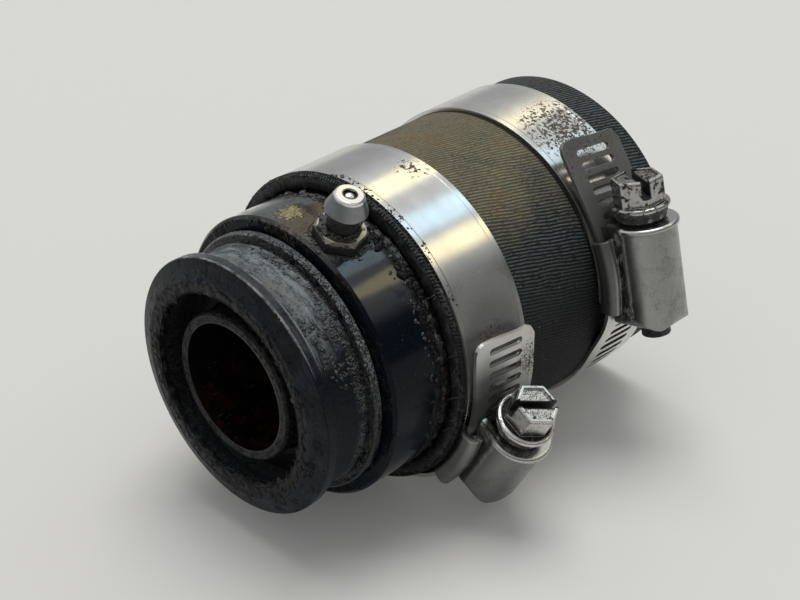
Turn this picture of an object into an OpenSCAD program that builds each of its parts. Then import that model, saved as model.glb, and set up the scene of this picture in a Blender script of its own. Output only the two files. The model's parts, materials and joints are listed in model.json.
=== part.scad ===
// Greased shaft seal carrier in a clamped hose sleeve.
// The shaft runs along X. The origin is on the shaft axis, at the front end of the shaft sleeve.

/* [Shaft sleeve] */
// Radius of the shaft bore
shaft_bore_r = 10.2; // [9.6:0.05:10.6]
// Wall of the sleeve under the bearing
sleeve_wall = 2.3; // [2:0.05:2.6]
// Step from the bearing seat down to where the front seal runs
nose_step = 0.7; // [0.5:0.05:1]
// Height of the shoulder that the bearing is pushed against
sleeve_shoulder = 1.1; // [0.8:0.05:1.3]
// Distance that the sleeve stands out behind the rear seal
sleeve_tail = 2.5; // [1:0.1:4]

/* [Nose flange] */
// Radius of the flange's rim
flange_r = 20.5; // [19.8:0.1:21.5]
// Width of the rim
flange_w = 1.8; // [1.2:0.1:2.6]
// Width of the flat land round the recess in the flange's face
land_w = 2.2; // [1.6:0.1:3]
// Distance from the rim forward to the land
land_lead = 1.2; // [0.6:0.1:2]
// Depth from the shaft sleeve's end to the front seal
seal_setback = 4.6; // [3.5:0.1:6]
// Radius of the neck just behind the rim
neck_root_r = 18.4; // [18:0.1:18.8]
// Radius of the neck's rear end
neck_end_r = 19.4; // [19:0.1:20]
// Length of the neck
neck_len = 6.8; // [5.5:0.1:8]
// Step from the neck's rear end down to the spigot that plugs into the body
spigot_step = 1.8; // [1.6:0.05:2]

/* [Lock ring] */
// Outer radius of the ring between neck and barrel
ring_r = 20.7; // [20.2:0.1:21.4]
// Width of the ring's rim
ring_w = 1.3; // [0.9:0.1:1.8]
// Width of the dark joint on each side of the rim
joint_gap = 0.45; // [0.3:0.05:0.7]

/* [Carrier body] */
// Radius of the barrel
barrel_r = 22.7; // [22.4:0.1:23.4]
// Visible length of the barrel, up to the hose shoulder
barrel_len = 10; // [9.4:0.1:12]
// Depth of the gallery that holds the grease
gallery_len = 4.6; // [4:0.1:6]
// Step from the bearing's seat in to the grease gallery
gallery_step = 1.3; // [1.1:0.05:1.6]
// Length of the body behind the rear seal
body_tail = 1.5; // [0.8:0.1:3]
// Depth of the grip grooves under the near clamp
grip_depth = 0.4; // [0.2:0.05:0.7]
// Width of a grip groove
grip_w = 1.5; // [1:0.1:2]

/* [Bearing] */
// Height of the bearing's section, from the sleeve's seat to the body's
bearing_section = 6; // [5.8:0.05:6.2]
// Width of the bearing
bearing_w = 7; // [6.6:0.1:7.6]
// Radius of a ball
ball_r = 1.75; // [1.6:0.05:1.8]
// Number of balls
ball_count = 15; // [11:1:16]
// Clearance of a ball in its races and pockets
ball_play = 0.06; // [0.04:0.01:0.1]
// Width of both retaining rings
snap_w = 1.2; // [0.9:0.1:1.5]
// Depth of both retaining-ring grooves
snap_depth = 0.6; // [0.4:0.05:0.8]

/* [Seals] */
// Width of both seals
seal_w = 6; // [5.6:0.1:7]
// Height of the front seal's section, which sets the recess in the flange
seal_section = 3.6; // [3.3:0.1:4.2]
// Thickness of the seal cases
case_t = 0.7; // [0.5:0.05:0.9]
// Radius of the garter springs' section
garter_r = 0.5; // [0.4:0.05:0.6]
// Running clearance of the lips on the sleeve
lip_play = 0.06; // [0.03:0.01:0.1]
// Radius of the O-ring's section
o_ring_r = 0.7; // [0.6:0.05:0.75]

/* [Grease nipple] */
// Angle of the nipple round the shaft, from straight up
nipple_angle = -17; // [-40:1:20]
// Radius of the nipple's screwed shank
shank_r = 3; // [2.6:0.1:3.2]
// Size of the hexagon across its flats
nipple_flats = 7; // [6.6:0.1:8]
// Height of the hexagon
nipple_hex_h = 2.4; // [1.8:0.1:3]
// Height of the nipple above the barrel
nipple_h = 8.1; // [7.6:0.1:9.5]
// Largest radius of the nipple's head
head_r = 3.2; // [2.9:0.1:3.4]
// Radius of the nipple's tip
tip_r = 2.1; // [1.9:0.1:2.3]
// Radius of the check ball
check_r = 1.2; // [1.1:0.05:1.3]
// Travel of the check ball
check_travel = 0.8; // [0.5:0.1:1]

/* [Hose sleeve] */
// Radius of the hose bore, unstretched
hose_bore_r = 22.2; // [21.9:0.1:22.3]
// Stretch of the hose over the body's spigot, on the radius
hose_stretch = 0.15; // [0.1:0.05:0.3]
// Wall of the hose
hose_wall = 2.45; // [2:0.05:3]
// Length of the hose
hose_len = 51.1; // [49:0.1:70]
// Gap between the barrel's shoulder and the hose
hose_gap = 1.4; // [0.8:0.1:2]
// Height of the flared lip at the near end
hose_flare = 0.65; // [0.4:0.05:0.7]

/* [Clamps] */
// Width of the bands
band_w = 12.7; // [12:0.1:13.2]
// Thickness of the bands
band_t = 0.6; // [0.5:0.05:0.7]
// Distance from the near end of the hose to the near band
near_band_inset = 1.3; // [1:0.1:4]
// Distance from the far end of the hose to the far band
far_band_inset = 6.5; // [3:0.1:9]
// Angle of the near clamp's screw round the shaft, from straight up
near_clamp_angle = -119; // [-150:1:-90]
// Angle of the far clamp's screw round the shaft, from straight up
far_clamp_angle = -76; // [-85:1:-40]
// Pitch of the band's slots and of the worm
slot_pitch = 2.1; // [1.9:0.05:2.3]
// Length of a slot
slot_len = 7.2; // [6.4:0.1:8]
// Width of a slot
slot_w = 1.15; // [1.05:0.05:1.25]
// Number of slots in the loop of a band
loop_slots = 17; // [8:1:24]
// Angle from the screw to the tip of the tail
tail_reach = 45; // [38:1:55]
// Slots of the near tail that follow the circle
near_tail_curl = 6; // [5:1:7]
// Slots of the far tail that follow the circle
far_tail_curl = 4; // [4:1:7]
// Radius of the screw's journal in the housing's mouth
journal_r = 3.4; // [3.2:0.05:3.5]
// Root radius of the worm
worm_root_r = 2.65; // [2.4:0.05:2.8]
// Height of the worm's thread
thread_h = 0.75; // [0.6:0.05:0.8]
// Length of the near screw's housing
near_housing_len = 14; // [13.5:0.1:16]
// Length of the far screw's housing
far_housing_len = 17; // [15:0.1:18]
// Distance along the screw from the clamp's middle to the housing's mouth
mouth_y = 7.8; // [7.4:0.1:8.4]
// Outer radius of a screw housing's dome
dome_r = 5; // [4.8:0.1:5.2]
// Sheet thickness of housing and saddle
sheet_t = 0.85; // [0.7:0.05:0.9]
// Size of the near screw's hexagon across its flats
near_screw_flats = 6.4; // [6:0.1:7.2]
// Size of the far screw's hexagon across its flats
far_screw_flats = 7; // [6:0.1:7.2]
// Height of the screw's hexagon above the collar
screw_hex_h = 4.1; // [3.6:0.1:5]
// Radius of the screw's collar
collar_r = 4.7; // [4.4:0.05:4.8]
// Thickness of the collar's rim
collar_t = 0.9; // [0.7:0.1:1.2]
// Width of the screwdriver slot
driver_w = 1.05; // [0.8:0.05:1.6]
// Depth of the screwdriver slot
driver_depth = 2.6; // [1.5:0.1:3]
// Turn of the near screw's slot from the shaft's direction
near_head_turn = 30; // [0:1:179]
// Turn of the far screw's slot from the shaft's direction
far_head_turn = 121; // [0:1:179]

/* [Hidden] */
fine = 96;
small = 32;
eps = 0.01;

// Stations along the shaft, from front to back
land_x = -land_lead;
neck_x = flange_w;
ring_x = neck_x + neck_len + joint_gap;
barrel_x = ring_x + ring_w + joint_gap;
ring_skirt_x = barrel_x + 1.1;
o_ring_x = ring_skirt_x + 0.3;
o_groove_w = 2 * o_ring_r + 0.1;
spigot_end_x = o_ring_x + o_groove_w + 0.5;
bearing_x = spigot_end_x + gallery_len;
snap_x = bearing_x + bearing_w;
rear_seal_x = snap_x + snap_w + 2;
body_end_x = rear_seal_x + seal_w + body_tail;
sleeve_end_x = rear_seal_x + seal_w + sleeve_tail;
front_seal_x = seal_setback;
shoulder_x = barrel_x + barrel_len;
hose_x = shoulder_x + hose_gap;
hose_end_x = hose_x + hose_len;
nipple_x = spigot_end_x + 1.6;

// Radii that follow from others
sleeve_seat_r = shaft_bore_r + sleeve_wall;
sleeve_nose_r = sleeve_seat_r - nose_step;
recess_r = sleeve_nose_r + seal_section;
land_r = recess_r + land_w;
nose_spigot_r = neck_end_r - spigot_step;
body_bore_r = nose_spigot_r + 0.05;
bearing_r = sleeve_seat_r + bearing_section;
gallery_r = bearing_r - gallery_step;
ring_skirt_r = neck_end_r - 0.4;
pitch_r = (sleeve_seat_r + bearing_r) / 2;
race_r = ball_r + ball_play;
ring_wall = (bearing_r - sleeve_seat_r) / 2 - ball_r + 0.55;
hose_r = hose_bore_r + hose_wall;
spigot_r = hose_bore_r + hose_stretch;
snap_section = 1.8;

// Heights of the nipple along its own axis, from the shaft
nipple_seat = barrel_r - 0.55;
shank_depth = 3.4;
nipple_top = barrel_r + nipple_h;
mouth_r = 0.8 * check_r;
mouth_h = 0.5;
chamber_r = check_r + 0.1;
check_z = nipple_top - mouth_h - sqrt(check_r * check_r - mouth_r * mouth_r) - 0.03;
spring_top = check_z - check_r;
spring_len = 3.2;
spring_wire = 0.14;

// Clamp layout, in the frame of one clamp: X along the shaft, Y along the screw, Z outwards
band_r = hose_r;
loop_r = band_r + band_t;
saddle_t = sheet_t - 0.15;
tail_gap = 0.1;
tail_in_r = loop_r + saddle_t + tail_gap;
tail_out_r = tail_in_r + band_t;
tail_mid_r = tail_in_r + band_t / 2;
worm_gap = 0.3;
screw_z = tail_out_r + worm_root_r + worm_gap;
crest_r = worm_root_r + thread_h;
dome_in_r = dome_r - sheet_t;
dome_z = screw_z + 0.35;
end_round = 2;
foot_r = tail_out_r + 0.15;
channel_x = band_w / 2 + 0.25;
journal_w = 1.4;
journal_play = 0.08;
tip_r_screw = 2.3;
lip_w = 1;
lip_flare = 0.5;
journal_y = mouth_y - journal_w;
cone_y = mouth_y + 0.35;
collar_y = mouth_y + 2;
head_y = collar_y + collar_t;
dish_y = head_y - 0.4 * collar_t;
slot_step = slot_pitch / tail_mid_r * 180 / PI;
lead_angle = atan(slot_pitch / (2 * PI * (worm_root_r + 0.3)));
ramp_from = -36;
ramp_to = -14.5;
tail_start = -1.5 * slot_step;
loop_fixed_end = -11;
saddle_half = 12.5;

// Places along the screw of a housing's closed end, and of the worm's first end
function end_y(len) = mouth_y - len;
function worm_y(len) = end_y(len) + sheet_t + 0.3;

// ---------- helpers ----------

// Turns an outline (radius, distance along the shaft) round the shaft
module turned() {
  rotate([0, 90, 0]) rotate_extrude($fn = fine) children();
}

// Turns an outline round the shaft from angle a to angle b, measured from straight up
module sector(a, b) {
  rotate([0, 90, 0]) rotate([0, 0, 180 - b]) rotate_extrude(angle = b - a, $fn = fine) children();
}

// An outline's rectangle from radius r0 to r1 and from x0 to x1
module strip(r0, r1, x0, x1) {
  translate([r0, x0]) square([r1 - r0, x1 - x0]);
}

// Places children at an angle round the shaft, with their Z pointing outwards
module around(angle) {
  rotate([-angle, 0, 0]) children();
}

// Children drawn along Z are laid along Y
module along_y() {
  rotate([-90, 0, 0]) children();
}

// A wire or thread that winds up Z: the outline holds [radius, height] pairs
function winding(outline, pitch, turns, steps) = [
  for (i = [0:round(turns * steps)]) let (a = 360 * i / steps)
    [for (p = outline) [p[0] * cos(a), p[0] * sin(a), p[1] + pitch * i / steps]]];

module helix(outline, pitch, turns, steps) {
  rings = winding(outline, pitch, turns, steps);
  n = len(outline);
  last = len(rings) - 1;
  points = [for (ring = rings) each ring];
  sides = [for (i = [0:last - 1]) for (k = [0:n - 1])
    [n * i + k, n * (i + 1) + k, n * (i + 1) + (k + 1) % n, n * i + (k + 1) % n]];
  polyhedron(points, concat([[for (k = [0:n - 1]) k]], sides,
    [[for (k = [0:n - 1]) n * last + n - 1 - k]]), convexity = 10);
}

module hexagon(flats) {
  circle(r = flats / sqrt(3), $fn = 6);
}

// ---------- nose and body ----------

module nose_flange() {
  color([0.07, 0.08, 0.12]) turned() difference() {
    polygon([[recess_r, land_x], [land_r, land_x], [flange_r - 0.15, -0.1], [flange_r, 0.1],
      [flange_r, neck_x - 0.2], [flange_r - 0.25, neck_x], [neck_root_r + 0.5, neck_x],
      [neck_root_r, neck_x + 0.6], [(neck_root_r + neck_end_r) / 2 - 0.15, neck_x + 0.6 * neck_len],
      [neck_end_r, neck_x + neck_len - 0.7], [neck_end_r, neck_x + neck_len - 0.3],
      [neck_end_r - 0.3, neck_x + neck_len], [nose_spigot_r, neck_x + neck_len],
      [nose_spigot_r, spigot_end_x - 0.3], [nose_spigot_r - 0.3, spigot_end_x],
      [recess_r - 1.8, spigot_end_x], [recess_r - 1.8, front_seal_x + seal_w],
      [recess_r, front_seal_x + seal_w]]);
    strip(body_bore_r - 2 * o_ring_r, nose_spigot_r + 1, o_ring_x, o_ring_x + o_groove_w);
  }
}

module nose_o_ring() {
  color([0.05, 0.05, 0.05]) turned()
    translate([body_bore_r - o_ring_r, o_ring_x + o_groove_w / 2]) circle(r = o_ring_r, $fn = small);
}

module lock_ring() {
  color([0.08, 0.09, 0.13]) turned() union() {
    strip(body_bore_r, ring_skirt_r, neck_x + neck_len, ring_skirt_x);
    polygon([[ring_skirt_r - eps, ring_x], [ring_r - 0.3, ring_x], [ring_r, ring_x + 0.3],
      [ring_r, ring_x + ring_w - 0.2], [ring_r - 0.2, ring_x + ring_w], [ring_skirt_r - eps, ring_x + ring_w]]);
  }
}

module body_outline() {
  polygon([[ring_skirt_r, barrel_x], [barrel_r - 0.5, barrel_x], [barrel_r, barrel_x + 0.5],
    [barrel_r, shoulder_x - 0.3], [barrel_r - 0.3, shoulder_x], [spigot_r, shoulder_x],
    [spigot_r, body_end_x - 1.5], [spigot_r - 0.7, body_end_x],
    [bearing_r, body_end_x], [bearing_r, bearing_x], [gallery_r, bearing_x], [gallery_r, spigot_end_x],
    [body_bore_r, spigot_end_x], [body_bore_r, ring_skirt_x], [ring_skirt_r, ring_skirt_x]]);
}

module carrier_body() {
  grip_pitch = (body_end_x - hose_x - 2) / 4;
  color([0.06, 0.07, 0.11]) difference() {
    turned() difference() {
      body_outline();
      strip(bearing_r - 1, bearing_r + snap_depth, snap_x, snap_x + snap_w);
      for (i = [1:3]) strip(spigot_r - grip_depth, spigot_r + 1, hose_x + i * grip_pitch,
        hose_x + i * grip_pitch + grip_w);
    }
    translate([nipple_x, 0, 0]) around(nipple_angle) {
      translate([0, 0, nipple_seat]) cylinder(r = nipple_flats / sqrt(3) + 0.5, h = 4, $fn = small);
      translate([0, 0, nipple_seat - shank_depth]) cylinder(r = shank_r, h = 8, $fn = small);
      translate([0, 0, gallery_r - 2]) cylinder(r = 1.2, h = 8, $fn = small);
    }
  }
}

// ---------- shaft sleeve and bearing ----------

module shaft_sleeve() {
  shoulder_r = sleeve_seat_r + sleeve_shoulder;
  color([0.33, 0.2, 0.14]) turned() difference() {
    polygon([[shaft_bore_r, 0], [sleeve_nose_r - 0.3, 0], [sleeve_nose_r, 0.4],
      [sleeve_nose_r, bearing_x - 2.2], [shoulder_r, bearing_x - 1.4], [shoulder_r, bearing_x],
      [sleeve_seat_r, bearing_x], [sleeve_seat_r, sleeve_end_x - 0.6],
      [sleeve_seat_r - 0.6, sleeve_end_x], [shaft_bore_r, sleeve_end_x]]);
    strip(sleeve_seat_r - snap_depth, sleeve_seat_r + 1, snap_x, snap_x + snap_w);
  }
}

module race_cut() {
  translate([pitch_r, bearing_x + bearing_w / 2]) circle(r = race_r, $fn = fine);
}

module bearing_outer_ring() {
  color([0.62, 0.63, 0.65]) turned() difference() {
    strip(bearing_r - ring_wall, bearing_r, bearing_x, snap_x);
    race_cut();
  }
}

module bearing_inner_ring() {
  color([0.66, 0.67, 0.69]) turned() difference() {
    strip(sleeve_seat_r, sleeve_seat_r + ring_wall, bearing_x, snap_x);
    race_cut();
  }
}

module ball_places() {
  for (i = [0:ball_count - 1]) around(360 * i / ball_count)
    translate([bearing_x + bearing_w / 2, 0, pitch_r]) children();
}

module bearing_cage() {
  cage_half = ball_r + 0.75;
  color([0.72, 0.6, 0.35]) difference() {
    turned() strip(pitch_r - 0.6, pitch_r + 0.6, bearing_x + bearing_w / 2 - cage_half,
      bearing_x + bearing_w / 2 + cage_half);
    ball_places() sphere(r = race_r, $fn = small);
  }
}

module bearing_balls() {
  color([0.78, 0.79, 0.8]) ball_places() sphere(r = ball_r, $fn = small);
}

module bearing_snap_ring() {
  color([0.25, 0.26, 0.28]) difference() {
    turned() strip(bearing_r + snap_depth - snap_section, bearing_r + snap_depth, snap_x, snap_x + snap_w);
    translate([snap_x + snap_w / 2, 0, bearing_r]) cube([snap_w + 1, 7, 6], center = true);
  }
}

module sleeve_retaining_ring() {
  color([0.25, 0.26, 0.28]) difference() {
    turned() strip(sleeve_seat_r - snap_depth, sleeve_seat_r - snap_depth + snap_section, snap_x, snap_x + snap_w);
    translate([snap_x + snap_w / 2, 0, -sleeve_seat_r]) cube([snap_w + 1, 5, 6], center = true);
  }
}

// ---------- seals ----------

// Radius and station where a seal's lip carries its garter spring
function garter_seat_r(shaft_r) = shaft_r + 3 * garter_r;
function garter_seat_x(x) = x + 2 * seal_w / 3;

module seal_case(shaft_r, seat_r, x) {
  color([0.4, 0.36, 0.32]) turned() union() {
    strip(seat_r - case_t, seat_r, x, x + seal_w);
    strip(shaft_r + 2.2 * garter_r, seat_r - case_t + eps, x, x + case_t);
  }
}

module seal_lip(shaft_r, seat_r, x) {
  touch_r = shaft_r + lip_play;
  heel_r = shaft_r + 2.2 * garter_r;
  back_r = garter_seat_r(shaft_r);
  flex_r = shaft_r + 1.2 * garter_r;
  heel_x = x + case_t;
  spring_x = garter_seat_x(x);
  step = seal_w / 30;
  color([0.09, 0.07, 0.06]) turned() difference() {
    polygon([[shaft_r + garter_r / 2, x], [heel_r, x], [heel_r, heel_x], [seat_r - case_t, heel_x],
      [seat_r - case_t, heel_x + 4 * step], [back_r, heel_x + 6 * step], [back_r, spring_x + 5 * step],
      [flex_r, spring_x + 6 * step], [touch_r, spring_x], [touch_r, spring_x - step],
      [flex_r, spring_x - 6 * step], [flex_r, heel_x + 3 * step]]);
    translate([back_r, spring_x]) circle(r = garter_r, $fn = small);
  }
}

module garter_spring(shaft_r, x) {
  color([0.6, 0.6, 0.58]) turned()
    translate([garter_seat_r(shaft_r), garter_seat_x(x)]) circle(r = garter_r, $fn = small);
}

module front_seal_case() { seal_case(sleeve_nose_r, recess_r, front_seal_x); }
module front_seal_lip() { seal_lip(sleeve_nose_r, recess_r, front_seal_x); }
module front_garter_spring() { garter_spring(sleeve_nose_r, front_seal_x); }
module rear_seal_case() { seal_case(sleeve_seat_r, bearing_r, rear_seal_x); }
module rear_seal_lip() { seal_lip(sleeve_seat_r, bearing_r, rear_seal_x); }
module rear_garter_spring() { garter_spring(sleeve_seat_r, rear_seal_x); }

// ---------- grease nipple ----------

module on_nipple_axis() {
  translate([nipple_x, 0, 0]) around(nipple_angle) children();
}

module nipple_body() {
  hex_top = nipple_seat + nipple_hex_h;
  wide_z = nipple_top - 2.8;
  neck_r = head_r - 0.9;
  color([0.62, 0.62, 0.6]) on_nipple_axis() difference() {
    union() {
      translate([0, 0, nipple_seat - shank_depth]) cylinder(r = shank_r, h = shank_depth + eps, $fn = small);
      intersection() {
        translate([0, 0, nipple_seat]) rotate([0, 0, 15]) linear_extrude(nipple_hex_h) hexagon(nipple_flats);
        translate([0, 0, nipple_seat - 2]) cylinder(r1 = nipple_flats / 2 + 3.4, r2 = nipple_flats / 2 + 0.1,
          h = nipple_hex_h + 2, $fn = fine);
      }
      rotate_extrude($fn = fine) polygon([[0, hex_top - eps], [neck_r, hex_top - eps], [neck_r, wide_z - 1.1],
        [head_r, wide_z - 0.1], [head_r, wide_z + 0.1], [tip_r + 0.1, nipple_top - 0.2],
        [tip_r - 0.15, nipple_top], [0, nipple_top]]);
    }
    translate([0, 0, spring_top - spring_len]) cylinder(r = chamber_r, h = nipple_top - mouth_h - spring_top + spring_len,
      $fn = small);
    translate([0, 0, nipple_top - 2 * mouth_h]) cylinder(r = mouth_r, h = 2, $fn = small);
    translate([0, 0, nipple_seat - shank_depth - 1]) cylinder(r = 0.8, h = 10, $fn = small);
  }
}

module nipple_ball() {
  color([0.8, 0.8, 0.8]) on_nipple_axis() translate([0, 0, check_z]) sphere(r = check_r, $fn = small);
}

module nipple_spring() {
  coil_r = chamber_r - spring_wire - 0.12;
  turns = 5;
  rise = (spring_len - 4 * spring_wire) / turns;
  color([0.5, 0.5, 0.5]) on_nipple_axis() translate([0, 0, spring_top - spring_len + 1.5 * spring_wire])
    helix([[coil_r - spring_wire, 0], [coil_r, -spring_wire], [coil_r + spring_wire, 0], [coil_r, spring_wire]],
      rise, turns, 14);
}

// ---------- hose ----------

module hose_sleeve() {
  lip_r = hose_r + hose_flare;
  color([0.16, 0.16, 0.16]) turned()
    polygon([[spigot_r, hose_x + 1.3], [spigot_r + 1.1, hose_x + 0.1], [lip_r - 0.4, hose_x],
      [lip_r, hose_x + 0.3], [hose_r, hose_x + near_band_inset],
      [hose_r, hose_end_x - 0.4], [hose_r - 0.3, hose_end_x], [hose_bore_r + 0.1, hose_end_x],
      [hose_bore_r, hose_end_x - 0.2], [hose_bore_r, body_end_x + 1.5], [spigot_r, body_end_x + 0.1]]);
}

// ---------- worm-drive clamps ----------

module slot_shape() {
  rotate(-lead_angle) union() {
    square([slot_len - slot_w, slot_w], center = true);
    for (side = [-1, 1]) translate([side * (slot_len - slot_w) / 2, 0]) circle(d = slot_w, $fn = small);
  }
}

// Slots cut through a band that runs at radius r, at each angle in the list
module slots(angles, r) {
  for (a = angles) around(a) translate([0, 0, r - 1]) linear_extrude(band_t + 2) slot_shape();
}

// Height of the loop above the hose where it climbs into the housing
function climb(a) = let (s = (a - ramp_from) / (ramp_to - ramp_from)) (tail_in_r - band_r) * s * s * (3 - 2 * s);

function on_circle(r, a) = [r * sin(a), r * cos(a)];

module band_loop() {
  ramp_step = (ramp_to - ramp_from) / 14;
  ramp = [ramp_from:ramp_step:ramp_to + eps];
  rise = [for (a = ramp) on_circle(band_r + climb(a), a)];
  fall = [for (a = ramp) on_circle(band_r + climb(a) + band_t, a)];
  color([0.68, 0.69, 0.7]) difference() {
    union() {
      sector(loop_fixed_end, 360 + ramp_from) strip(band_r, loop_r, -band_w / 2, band_w / 2);
      rotate([90, 0, 90]) linear_extrude(band_w, center = true)
        polygon(concat(rise, [for (i = [len(fall) - 1:-1:0]) fall[i]]));
    }
    slots([for (i = [0:loop_slots - 1]) ramp_to - 1 - slot_step * (i + 0.5)], band_r);
  }
}

// The stamped end of the tail: a high rounded shoulder, a shallow dip and a bevelled corner
module tail_outline(len) {
  half = band_w / 2;
  shoulder = 0.12 * band_w;
  dip = 0.043 * band_w;
  wave = [for (i = [0:12]) let (u = i / 12)
    [-half + shoulder + u * (band_w - 2 * shoulder), len - dip * (1 - cos(180 * u))]];
  polygon(concat([[-half, -eps], [-half, len - 1.05 * shoulder], [-half + shoulder / 6, len - shoulder / 2],
    [-half + shoulder / 2, len - shoulder / 7]], wave,
    [[half - 0.6 * shoulder, len - 0.9 * shoulder], [half, len - 1.9 * shoulder], [half, -eps]]));
}

module band_tail(curl) {
  lift = (curl + 0.5) * slot_step;
  flat_len = tail_mid_r * tan(tail_reach - lift) + 0.45;
  color([0.7, 0.71, 0.72]) difference() {
    union() {
      sector(tail_start, lift) strip(tail_in_r, tail_out_r, -band_w / 2, band_w / 2);
      around(lift) translate([0, 0, tail_in_r]) linear_extrude(band_t) tail_outline(flat_len);
    }
    slots([for (i = [-1:curl]) i * slot_step], tail_in_r);
    around(lift) for (i = [0:floor((flat_len - 2.2 - slot_pitch / 2) / slot_pitch)])
      translate([0, (i + 0.5) * slot_pitch, tail_in_r - 1]) linear_extrude(band_t + 2) slot_shape();
  }
}

// The channel under the housing, with its side lips rolled over the housing's feet
module saddle() {
  lip_in_r = foot_r + sheet_t + 0.12;
  lip_out_r = lip_in_r + sheet_t;
  lip_x = dome_r + 0.15;
  edge_x = channel_x + sheet_t;
  fold = 1.5 * sheet_t;
  teeth = 7;
  tooth = 0.6 * sheet_t;
  color([0.66, 0.67, 0.68]) difference() {
    sector(-saddle_half, saddle_half) for (side = [-1, 1]) mirror([0, side < 0 ? 1 : 0]) difference() {
      union() {
        strip(loop_r, lip_out_r, -eps, edge_x - fold);
        strip(loop_r + fold, lip_out_r - fold, 0, edge_x);
        for (r = [loop_r + fold, lip_out_r - fold]) translate([r, edge_x - fold]) circle(r = fold, $fn = small);
      }
      strip(loop_r + saddle_t, lip_in_r, -1, channel_x);
      strip(lip_in_r - eps, lip_out_r + 1, -1, lip_x);
    }
    for (side = [-1, 1]) for (i = [0:teeth - 1]) around((i - (teeth - 1) / 2) * 2 * saddle_half / teeth)
      translate([side * lip_x, 0, lip_in_r + sheet_t / 2]) rotate([0, 0, 45])
        cube([tooth, tooth, 2 * sheet_t], center = true);
  }
}

// Cross-section of the housing, or of a space in it, that stands on the foot radius
module arch(r, z) {
  translate([0, z]) circle(r = r, $fn = fine);
  translate([-r, foot_r - 3]) square([2 * r, z - foot_r + 3]);
}

// A rectangle from y0 to y1 whose corners at y0 are rounded
module round_end(half, y0, y1) {
  translate([-half, y0 + end_round]) square([2 * half, y1 - y0 - end_round]);
  translate([-half + end_round, y0]) square([2 * (half - end_round), end_round + eps]);
  for (side = [-1, 1]) translate([side * (half - end_round), y0 + end_round]) circle(r = end_round, $fn = small);
}

// The arch, with its closed end rounded in plan and in side view
module housing_shell(len) {
  intersection() {
    translate([0, mouth_y, 0]) rotate([90, 0, 0]) linear_extrude(len) arch(dome_r, dome_z);
    translate([0, 0, foot_r - 4]) linear_extrude(20) round_end(dome_r, end_y(len), mouth_y + 1);
    translate([-10, 0, dome_z]) rotate([0, 90, 0]) linear_extrude(20) round_end(dome_r, end_y(len), mouth_y + 1);
  }
}

module housing(len) {
  foot_half = saddle_half - 0.8;
  foot_x = channel_x - 0.1;
  color([0.74, 0.75, 0.76]) difference() {
    union() {
      housing_shell(len);
      sector(-foot_half, foot_half) strip(foot_r - 0.5, foot_r + sheet_t, -foot_x, foot_x);
      intersection() {
        translate([0, mouth_y - lip_w, dome_z]) along_y() rotate_extrude($fn = fine) union() {
          square([dome_r + lip_flare - lip_w / 2, lip_w]);
          translate([dome_r + lip_flare - lip_w / 2, lip_w / 2]) circle(d = lip_w, $fn = small);
        }
        translate([-10, mouth_y - 5, screw_z - 1]) cube([20, 10, 10]);
      }
    }
    translate([0, journal_y, 0]) rotate([90, 0, 0])
      linear_extrude(journal_y - worm_y(len)) arch(dome_in_r, dome_z);
    translate([0, mouth_y + 1, 0]) rotate([90, 0, 0])
      linear_extrude(journal_w + 2) arch(journal_r + journal_play, screw_z);
    rotate([0, 90, 0]) cylinder(r = foot_r, h = 30, center = true, $fn = fine);
    translate([0, end_y(len) - 1, screw_z]) along_y() cylinder(r = tip_r_screw + 0.1, h = 4, $fn = small);
  }
}

// The slotted hexagon, with its top dished inside a narrow rim
module screw_head(turn, flats) {
  edge = 0.2;
  rim = 0.55;
  height = screw_hex_h + head_y - dish_y;
  rotate([0, -turn, 0]) difference() {
    along_y() union() {
      linear_extrude(height - edge) hexagon(flats);
      translate([0, 0, height - edge - eps]) linear_extrude(edge + eps, scale = 1 - 2 * edge / flats) hexagon(flats);
    }
    translate([0, height - 0.45, 0]) along_y() linear_extrude(1) hexagon(flats - 2 * rim);
    translate([-8, height - driver_depth, -driver_w / 2]) cube([16, 4, driver_w]);
  }
}

module screw(turn, flats, len) {
  root_len = journal_y - worm_y(len);
  thread_y = worm_y(len) + 0.7;
  turns = floor((root_len - 1.4) / slot_pitch * 2) / 2;
  start_angle = 360 * thread_y / slot_pitch;
  flank = 0.5;
  crest = 0.22;
  color([0.75, 0.75, 0.74]) translate([0, 0, screw_z]) {
    translate([0, worm_y(len), 0]) along_y() cylinder(r = worm_root_r, h = root_len + eps, $fn = fine);
    translate([0, end_y(len) - 2.2, 0]) along_y()
      cylinder(r = tip_r_screw, h = worm_y(len) - end_y(len) + 2.3, $fn = small);
    translate([0, journal_y, 0]) along_y() cylinder(r = journal_r, h = cone_y - journal_y + eps, $fn = fine);
    translate([0, cone_y, 0]) along_y() rotate_extrude($fn = fine) union() {
      polygon([[0, 0], [journal_r, 0], [journal_r + 0.5, 0.1], [collar_r - 0.3, collar_y - cone_y + 0.1],
        [collar_r - collar_t / 2, collar_y - cone_y + collar_t / 2],
        [collar_r - collar_t / 2 - 0.3, dish_y - cone_y], [0, dish_y - cone_y]]);
      translate([collar_r - collar_t / 2, collar_y - cone_y + collar_t / 2]) circle(d = collar_t, $fn = small);
    }
    translate([0, dish_y - eps, 0]) screw_head(turn, flats);
    translate([0, thread_y, 0]) along_y() rotate([0, 0, 90 + start_angle]) helix([[worm_root_r - 0.25, -flank],
      [worm_root_r - 0.25, flank], [crest_r, crest], [crest_r, -crest]], slot_pitch, turns, 20);
  }
}

module at_near_clamp() {
  translate([hose_x + near_band_inset + band_w / 2, 0, 0]) around(near_clamp_angle) children();
}

module at_far_clamp() {
  translate([hose_end_x - far_band_inset - band_w / 2, 0, 0]) around(far_clamp_angle) children();
}

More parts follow.
